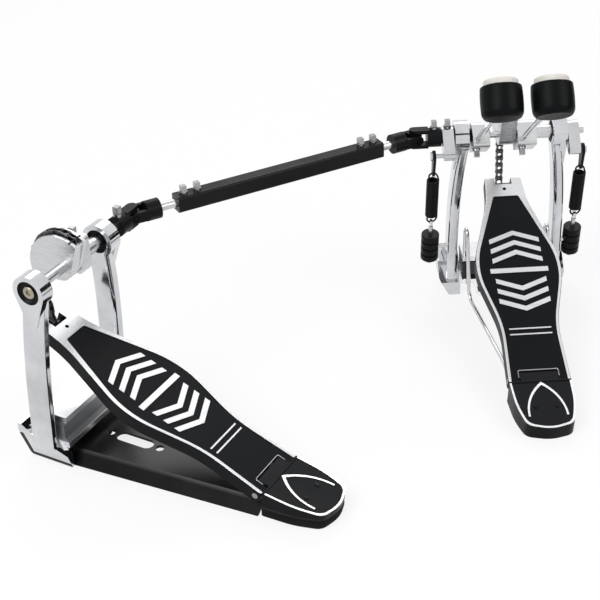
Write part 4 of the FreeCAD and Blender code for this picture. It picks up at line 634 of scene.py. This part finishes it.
class PEDAL_OT_drive(Operator):
    """Satin cams and hubs, the chains, the black parts of the drive link, and the base plate"""
    bl_idname = "pedal.drive"
    bl_label = "Drive"

    def execute(self, context):
        finish = context.scene.pedal.finish
        casting = satin("satin_casting", finish.satin, low=0.24, high=0.36)
        dress(casting, *both("cam"), "main_beater_hub", "sub_beater_hub")
        chain = plated("oiled_chain", finish.chain, low=0.25, high=0.4, scale=60.0)
        dress(chain, *both("chain_drop", "chain_lower_pair", "chain_upper_pair", "chain_wrap"))
        dress(coated("black_link", finish.black, low=0.14, high=0.26, gloss=0.14), "link_tube")
        steel = coated("black_steel", finish.black, low=0.28, high=0.4)
        dress(steel, "sub_axle", "sub_axle_yoke", "second_axle_yoke", *both("link_yoke", "joint_cross"),
              "main_spring_hook", "sub_spring_hook", "tension_barrels")
        dress(folded_sheet("black_base", finish.black), "second_base_plate")
        return {"FINISHED"}


class PEDAL_OT_boards(Operator):
    """Footboards and heel plates: black fields with bare raised edges and tread"""
    bl_idname = "pedal.boards"
    bl_label = "Boards"

    def execute(self, context):
        finish = context.scene.pedal.finish
        for pedal, place in (("main", main_pedal()), ("second", second_pedal())):
            board = tread_plate(pedal + "_board", tilted(place, BOARD_TILT), finish.field, finish.silver,
                                BOARD_TREAD, BOARD_BLACK_FROM)
            dress(board, pedal + "_footboard")
            heel = tread_plate(pedal + "_heel", tilted(place, HEEL_TILT), finish.field, finish.silver,
                               HEEL_TREAD, HEEL_BLACK_FROM)
            dress(heel, pedal + "_heel_plate")
        return {"FINISHED"}


def spring_wire(spring):
    """The wire's middle line and its lead vectors: loop, bend, coil, bend, loop.

    A loop is an arc of three eighths of a turn in the xz plane; a bend is a cubic Bezier from the
    loop's foot to the coil; the coil is (R cos a, R sin a, z0 + p a).
    """
    loop_points, turn_points, bend_points = 40, 36, 34
    radius, loop = spring.coil_radius, spring.loop_radius
    coil_low, coil_high = spring.low + 2 * loop, spring.high - 2 * loop
    swing = np.linspace(0.75 * np.pi, 1.5 * np.pi, loop_points)
    low_middle, high_middle = spring.low + loop, spring.high - loop
    low_loop = np.stack([loop * np.cos(swing), 0 * swing, low_middle + loop * np.sin(swing)], axis=-1)
    angle = np.linspace(0, 2 * np.pi * spring.turns, turn_points * spring.turns)
    rise = (coil_high - coil_low) * angle / angle[-1]
    coil = np.stack([radius * np.cos(angle), radius * np.sin(angle), coil_low + rise], axis=-1)
    swing = np.linspace(0.5 * np.pi, 1.25 * np.pi, loop_points)
    high_loop = np.stack([loop * np.cos(swing), 0 * swing, high_middle + loop * np.sin(swing)], axis=-1)
    share = np.linspace(0, 1, bend_points)[1:-1, None]
    weights = [(1 - share) ** 3, 3 * share * (1 - share) ** 2, 3 * share ** 2 * (1 - share), share ** 3]
    reach = 0.9 * loop
    low_bend = [low_loop[-1], low_loop[-1] + [reach, 0, 0], coil[0] - [0, reach, 0], coil[0]]
    high_bend = [coil[-1], coil[-1] + [0, reach, 0], high_loop[0] + [reach, 0, 0], high_loop[0]]
    bends = [sum(w * p for w, p in zip(weights, bend)) for bend in (low_bend, high_bend)]
    path = np.concatenate([low_loop, bends[0], coil, bends[1], high_loop])
    turn = np.concatenate([np.zeros(len(low_loop)), share[:, 0], np.ones(len(coil)),
                           share[::-1, 0], np.zeros(len(high_loop))])
    lead = np.stack([0 * turn, 1 - turn, turn], axis=-1)
    return path, lead


class PEDAL_OT_springs(Operator):
    """Close-wound springs"""
    bl_idname = "pedal.springs"
    bl_label = "Springs"

    def execute(self, context):
        spring, finish = context.scene.pedal.spring, context.scene.pedal.finish
        material = coated("black_spring", finish.black, low=0.25, high=0.38, scale=1500.0)
        rings = tube(*spring_wire(spring), spring.wire_radius, 12)
        for name, across in (("main", spring.main_across), ("sub", spring.sub_across)):
            place = spring_frame(across)
            piece = make_rings(name + "_coil_spring", rings, place, material, None)
            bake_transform(piece)
            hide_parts(name + "_spring")
        return {"FINISHED"}


class PEDAL_OT_beaters(Operator):
    """Crowned barrel heads with a felt face"""
    bl_idname = "pedal.beaters"
    bl_label = "Beaters"

    def execute(self, context):
        beater, finish = context.scene.pedal.beater, context.scene.pedal.finish
        head = coated("moulded_head", finish.head, low=0.3, high=0.42, scale=500.0, strength=0.08,
                      gloss=0.06)
        felt = felted("pressed_felt", finish.felt)
        for name, across in (("main", beater.main_across), ("sub", beater.sub_across)):
            place = beater_frame(across) @ Matrix.Translation((0, beater.offset, beater.height))
            self.head(name, place, beater, head)
            self.felt(name, place, beater, felt)
        return {"FINISHED"}

    def head(self, name, place, beater, material):
        """A barrel turned about y: quadratic bends between its chamfered back, its side and its front rim."""
        radius, back, front = beater.radius, beater.back, beater.front
        taper, crown, chamfer, lip = 3.4 * MM, 0.5 * MM, 4.2 * MM, 0.7 * MM
        rim, seat, edge = beater.felt_radius + 0.6 * MM, front - 1.2 * MM, 0.4 * MM
        corners = [(0, -back, 0), (radius - taper, -back, 2 * MM),
                   (radius - crown, -back + chamfer, 3 * MM), (radius, 0, 4 * MM),
                   (radius, front / 2, 5 * MM), (radius - lip, front, 1.7 * MM),
                   (rim, front, edge), (rim, seat, edge), (0, seat, 0)]
        rings = lathe(soft_corners(corners, 10), 96)
        piece = make_rings(name + "_barrel_head", rings, place, material, name + "_beater")
        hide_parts(name + "_beater_head")

    def felt(self, name, place, beater, material):
        """A felt disc turned about y: a crowned face, a soft rim, and a slight unevenness.

        Beyond its core the radius falls by a little and waves with two sines of the angle.
        """
        count, core = 120, 5 * MM
        sunk, crown, shrink, wave = 1.0 * MM, 0.8 * MM, 0.2 * MM, 0.12 * MM
        low, radius = beater.front - sunk, beater.felt_radius
        high = beater.front + beater.felt_depth
        corners = [(0, low, 0), (radius, low, 0.3 * MM), (radius, high - crown, 2.4 * MM),
                   (radius * 0.5, high, 4 * MM), (0, high, 0)]
        rings = lathe(soft_corners(corners, 10), count)
        angle = circle(count)
        wobble = wave * (np.sin(7 * angle + 0.4) + 0.6 * np.sin(17 * angle + 1.7))
        reach = np.linalg.norm(rings[..., (0, 2)], axis=-1, keepdims=True)
        scale = 1 - (shrink - wobble[None, :, None]) / np.maximum(reach, core)
        rings[..., (0, 2)] *= np.where(reach > core, scale, 1.0)
        piece = make_rings(name + "_felt_face", rings, place, material, name + "_beater")
        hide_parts(name + "_beater_felt")


def ribbed_sole(outline, height, ribs):
    """A flat sole: its outline carried down a profile, with ribs round its side.

    Each row scales the outline about its middle; the side rows swell by a cosine of the ribs.
    """
    swell = 0.007
    middle = outline.mean(axis=0)
    scale = np.array([0, 0.6, 0.965, 0.99, 0.99, 0.965, 0.6, 0])
    rise = np.array([1, 1, 1, 0.93, 0.1, 0, 0, 0]) * height
    side = np.array([0, 0, 0, 1, 1, 0, 0, 0])
    count = len(outline)
    wave = np.cos(2 * np.pi * ribs * np.arange(count) / count)
    size = scale[:, None] + swell * side[:, None] * wave
    flat = middle + size[..., None] * (outline - middle)
    return np.concatenate([flat, np.repeat(rise[:, None, None], count, 1)], axis=-1)


class PEDAL_OT_pads(Operator):
    """Ribbed rubber pad and sole under the base plate"""
    bl_idname = "pedal.pads"
    bl_label = "Pads"

    def execute(self, context):
        finish = context.scene.pedal.finish
        rubber = coated("moulded_rubber", finish.rubber, low=0.6, high=0.8, scale=400.0, strength=0.3)
        for name, corners, ribs in (("front_pad", self.pad_corners(), 36),
                                    ("heel_sole", self.sole_corners(), 90)):
            outline = even_run(corners, 8, 720, closed=True)
            rings = ribbed_sole(outline, BASE_TOP - BASE_SHEET, ribs)
            piece = make_rings(name, rings, second_pedal(), rubber, "frame")
            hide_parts("base_pads")
        return {"FINISHED"}

    def pad_corners(self):
        """A rectangle under the bridge."""
        half, back, front, bend = 12 * MM, -18 * MM, 12 * MM, 2 * MM
        return [(0, front), (half, front, bend), (half, back, bend), (-half, back, bend),
                (-half, front, bend), (0, front)]

    def sole_corners(self):
        """The heel plate's outline where it meets the level top of the base plate."""
        shift = HINGE.y + (HINGE.z - BASE_TOP) * math.tan(HEEL_TILT)
        back = [7.2 * MM, 40 * MM, 66.2 * MM, 72.7 * MM]
        halves = [31.2 * MM, 30.1 * MM, 23.2 * MM]
        bends = [1 * MM, 10 * MM, 7 * MM]
        rows = [shift - y / math.cos(HEEL_TILT) for y in back]
        right = list(zip(halves, rows, bends))
        left = [(-x, y, bend) for x, y, bend in reversed(right)]
        return [(0, rows[0]), *right, (0, rows[-1], 10 * MM), *left, (0, rows[0])]


class PEDAL_OT_trim(Operator):
    """Beads round the heel notches, edges and folds at the second feet, and screws on the second axle"""
    bl_idname = "pedal.trim"
    bl_label = "Trim"

    def execute(self, context):
        finish = context.scene.pedal.finish
        bright = plated("plated_bead", finish.screw, low=0.1, high=0.2, scale=40.0)
        for name, place in (("main", main_pedal()), ("second", second_pedal())):
            self.bead(name, tilted(place, BOARD_TILT), bright)
        self.screw(plated("brass_screw", finish.brass, low=0.22, high=0.34, scale=90.0))
        self.yoke_bolt(plated("yoke_screw", finish.screw, low=0.14, high=0.26, scale=60.0))
        edge = coated("black_edge", finish.black, low=0.3, high=0.42)
        fold = folded_sheet("black_fold", finish.black)
        for name, side in (("left", -1), ("right", 1)):
            self.foot_edge("second_%s_foot_edge" % name, side, edge)
            self.side_fold("second_%s_side_fold" % name, side, fold)
        return {"FINISHED"}

    def bead(self, name, place, material):
        """A round wire bead along the three sides of a footboard's heel notch."""
        half, end, front, bend = 20.6 * MM, 0.5 * MM, 8.4 * MM, 2 * MM
        height, wire = 6.4 * MM, 0.7 * MM
        run = even_run([(-half, end), (-half, front, bend), (half, front, bend), (half, end)], 12, 160)
        path = np.concatenate([run, np.full((len(run), 1), height)], axis=1)
        rings = tube(path, np.repeat([[0.0, 0.0, 1.0]], len(path), 0), wire, 12)
        piece = make_rings(name + "_notch_bead", rings, place, material, name + "_board")

    def screw(self, material):
        """A round screw head turned about y with a six-sided socket: rows from its rim to its floor.

        The socket's wall stands at r = a / cos(t mod 60 degrees - 30 degrees), a regular hexagon.
        """
        socket, axle_end = 2.8 * MM, -57.5 * MM
        angle = circle(96)
        ring = np.ones(len(angle))
        hexagon = socket / np.cos(np.mod(angle, np.pi / 3) - np.pi / 6)
        rims = np.array([0, 5.9, 6.2, 6.2, 5.7])[:, None] * MM * ring
        radii = np.stack([*rims, hexagon, hexagon, 0 * ring])
        heights = np.array([0.05, 0.05, 0.2, 1.9, 2.3, 2.3, 0.7, 0.6])[:, None] * MM * ring
        rings = np.stack([radii * np.cos(angle), heights, radii * np.sin(angle)], axis=-1)
        end = Matrix.Translation((axle_end, 0, AXLE.z)) @ Matrix.Rotation(math.pi / 2, 4, "Z")
        piece = make_rings("axle_end_screw", rings, second_pedal() @ end, material, "second_drive", False)

    def yoke_bolt(self, material):
        """A square-headed screw about z: a round collar, then a square at r = a / max(|cos t|, |sin t|)."""
        collar, half, chamfer = 4.2 * MM, 3.1 * MM, 0.4 * MM
        sunk, seat, top = -1.5 * MM, 2.6 * MM, 10.4 * MM
        along, above = 81.5 * MM, 10.5 * MM
        angle = circle(96)
        ring = np.ones(len(angle))
        square = ring / np.maximum(np.abs(np.cos(angle)), np.abs(np.sin(angle)))
        radii = np.stack([0 * ring, collar * ring, collar * ring, half * square, half * square,
                          (half - chamfer) * square, 0 * ring])
        heights = np.array([sunk, sunk, seat, seat, top - chamfer, top, top])[:, None] * ring
        rings = np.stack([radii * np.cos(angle), radii * np.sin(angle), heights], axis=-1)
        place = second_pedal() @ Matrix.Translation((along, 0, AXLE.z + above))
        piece = make_rings("yoke_key_bolt", rings, place, material, "second_drive", False)

    def foot_edge(self, name, side, material):
        """A thin black edge on a second foot's flared face, along its floor side and up its front."""
        toe, out, rise = 51 * MM, 13.5 * MM, 38 * MM
        back, front, inset, high, bend = -15 * MM, 33.1 * MM, 2.1 * MM, 36 * MM, 2 * MM
        half, sunk, proud = 1.9 * MM, -0.2 * MM, 0.45 * MM
        run = even_run([(back, inset), (front, inset, bend), (front, high)], 12, 120)
        rings = flat_strip(run, half, sunk, proud)
        up = Vector((side * out, 0, rise)).normalized()
        away = Vector((side * up.z, 0, -side * up.x))
        face = Matrix((Vector((0, 1, 0)), up, away)).transposed().to_4x4()
        place = second_pedal() @ Matrix.Translation((side * toe, 0, 0)) @ face
        piece = make_rings(name, rings, place, material, "frame", False)

    def side_fold(self, name, side, material):
        """The base plate's fold between a foot and the bridge: a bent sheet's section carried along y.

        The section goes up the outer slope to the level top, and back below it at the sheet's thickness.
        """
        top, sheet, tab, front = BASE_TOP - 0.3 * MM, 0.8 * MM, 31.9 * MM, 14 * MM
        slope = BASE_HALF - BASE_FOLD
        foot = BASE_HALF - sheet * math.hypot(slope, top) / top
        inside = foot - slope * (top - sheet) / top
        x = side * np.array([BASE_HALF, BASE_FOLD, tab, tab, inside, foot])
        z = np.array([0, top, top, top - sheet, top - sheet, 0])
        section = np.stack([x, 0 * x, z], axis=-1)
        rows = np.stack([section + [0, BASE_FRONT, 0], section + [0, front, 0]])
        ends = np.array([[0, 1, 4, 5], [1, 2, 3, 4]])
        quads = np.concatenate([grid_quads(2, len(x), True), ends, ends + len(x)])
        piece = make_piece(name, rows, quads, second_pedal(), material, "frame", False)


# Stage.

FLOOR_GLOW = 0.8
FLOOR_DROP = 0.4 * MM
LIGHT_AIM = (-0.24, -0.12, 0.1)

# Each lamp has its name, its place, its two sides and its power.

LAMPS = (
    ("key_lamp", (-1.4, -1.3, 1.9), (1.4, 1.4), 28.0),
    ("fill_lamp", (1.5, -1.0, 1.5), (1.2, 1.2), 14.0),
    ("back_lamp", (0.0, 1.6, 1.7), (2.0, 0.8), 14.0),
)

CARD_PLACE = (0.8, -0.1, 0.3)
CARD_AIM = (-0.2, -0.1, 0.1)
CARD_HALVES = (0.5, 0.25)
CARD_COLOUR = (0.02, 0.02, 0.02, 1.0)
SKY_LOW = (0.35, 0.35, 0.36, 1.0)
SKY_HIGH = (0.95, 0.95, 0.95, 1.0)
SKY_STRENGTH = 0.6


def stage_material(name, colour, glow):
    """A diffuse surface that the camera and reflections see mixed with full white by a share."""
    material = bpy.data.materials.new(name)
    material.use_nodes = True
    material.node_tree.nodes.clear()
    tree = Tree(material.node_tree)
    matt = tree.add("ShaderNodeBsdfDiffuse", {"Color": colour}).outputs[0]
    white = tree.add("ShaderNodeEmission", {"Color": WHITE, "Strength": 1.0}).outputs[0]
    share = tree.math("MULTIPLY", tree.seen(), glow)
    mixed = tree.add("ShaderNodeMixShader", {0: share, 1: matt, 2: white})
    tree.add("ShaderNodeOutputMaterial", {"Surface": mixed.outputs[0]})
    return material


def flat_sheet(name, half_x, half_y, place, material):
    """A plain sheet on a two by two grid."""
    x, y = np.meshgrid([-half_x, half_x], [-half_y, half_y], indexing="ij")
    points = np.stack([x, y, 0 * x], axis=-1)
    piece = make_piece(name, points, grid_quads(2, 2, False), place, material, None)
    return piece


def looking(at, to):
    """A frame at one point whose z axis points away from another."""
    back = (Vector(at) - Vector(to)).normalized()
    return Matrix.Translation(at) @ back.to_track_quat("Z", "Y").to_matrix().to_4x4()


class PEDAL_OT_stage(Operator):
    """Pale floor, soft light, a dark card for the reflections, and the camera"""
    bl_idname = "pedal.stage"
    bl_label = "Stage"

    def execute(self, context):
        stage, scene = context.scene.pedal.stage, context.scene
        scene.view_settings.view_transform = "Standard"
        floor = stage_material("pale_floor", stage.floor_colour, FLOOR_GLOW)
        place = Matrix.Translation((stage.target[0], stage.target[1], -FLOOR_DROP))
        flat_sheet("floor", stage.floor_half, stage.floor_half, place, floor)
        self.sky(scene)
        for name, at, size, power in LAMPS:
            self.lamp(scene, name, at, size, power)
        self.card()
        self.camera(scene, stage)
        return {"FINISHED"}

    def sky(self, scene):
        """A soft studio dome, brighter above, that the camera and reflections see as white."""
        scene.world = bpy.data.worlds.new("studio")
        scene.world.use_nodes = True
        scene.world.node_tree.nodes.clear()
        tree = Tree(scene.world.node_tree)
        up = tree.split(tree.add("ShaderNodeTexCoord").outputs["Generated"])["Z"]
        studio = tree.mix(tree.span(up, 0.05, 0.6), SKY_LOW, SKY_HIGH)
        soft = tree.add("ShaderNodeBackground", {"Color": studio, "Strength": SKY_STRENGTH}).outputs[0]
        white = tree.add("ShaderNodeBackground", {"Color": WHITE, "Strength": 1.0}).outputs[0]
        mixed = tree.add("ShaderNodeMixShader", {0: tree.seen(), 1: soft, 2: white})
        tree.add("ShaderNodeOutputWorld", {"Surface": mixed.outputs[0]})

    def lamp(self, scene, name, at, size, power):
        """A soft rectangular lamp aimed at the pedals."""
        light = bpy.data.lights.new(name, "AREA")
        light.shape = "RECTANGLE"
        light.size, light.size_y = size
        light.energy = power
        lamp = bpy.data.objects.new(name, light)
        lamp.matrix_world = looking(at, LIGHT_AIM)
        scene.collection.objects.link(lamp)

    def card(self):
        """A black card on the right that only reflections see."""
        black = stage_material("black_card", CARD_COLOUR, 0.0)
        card = flat_sheet("right_card", *CARD_HALVES, looking(CARD_PLACE, CARD_AIM), black)
        card.visible_camera = False
        card.visible_diffuse = False
        card.visible_shadow = False

    def camera(self, scene, stage):
        """The camera, turned, raised and rolled about its target."""
        data = bpy.data.cameras.new("view")
        data.lens = stage.lens
        data.sensor_width = 36.0
        camera = bpy.data.objects.new("view", data)
        turn, rise = stage.azimuth, stage.elevation
        back = Vector((math.sin(turn) * math.cos(rise), -math.cos(turn) * math.cos(rise), math.sin(rise)))
        right = (-back).cross(Vector((0, 0, 1))).normalized()
        up = right.cross(-back)
        tip = Matrix.Rotation(stage.roll, 3, back)
        axes = Matrix((tip @ right, tip @ up, back)).transposed().to_4x4()
        camera.matrix_world = Matrix.Translation(Vector(stage.target) + back * stage.distance) @ axes
        scene.collection.objects.link(camera)
        scene.camera = camera


OPERATORS = (PEDAL_OT_castings, PEDAL_OT_drive, PEDAL_OT_boards, PEDAL_OT_springs, PEDAL_OT_beaters,
             PEDAL_OT_pads, PEDAL_OT_trim, PEDAL_OT_stage)


class PEDAL_PT_pieces(Panel):
    """Lists the pieces and their settings"""
    bl_idname = "PEDAL_PT_pieces"
    bl_label = "Double bass drum pedal"
    bl_space_type = "VIEW_3D"
    bl_region_type = "UI"
    bl_category = "Pedal"

    def draw(self, context):
        for operator in OPERATORS:
            self.layout.operator(operator.bl_idname)
        for name in PedalSettings.__annotations__:
            group = getattr(context.scene.pedal, name)
            box = self.layout.box()
            for field in group.__annotations__:
                box.prop(group, field)


CLASSES = (FinishSettings, SpringSettings, BeaterSettings, StageSettings, PedalSettings, *OPERATORS,
           PEDAL_PT_pieces)


def register():
    """Registers the classes and hangs the settings on the scene."""
    for item in CLASSES:
        bpy.utils.register_class(item)
    bpy.types.Scene.pedal = PointerProperty(type=PedalSettings)


def unregister():
    """Takes the settings and the classes away again."""
    del bpy.types.Scene.pedal
    for item in reversed(CLASSES):
        bpy.utils.unregister_class(item)


def main():
    """Makes every piece and the stage."""
    register()
    bpy.ops.pedal.castings()
    bpy.ops.pedal.drive()
    bpy.ops.pedal.boards()
    bpy.ops.pedal.springs()
    bpy.ops.pedal.beaters()
    bpy.ops.pedal.pads()
    bpy.ops.pedal.trim()
    bpy.ops.pedal.stage()


if __name__ == "__main__":
    main()
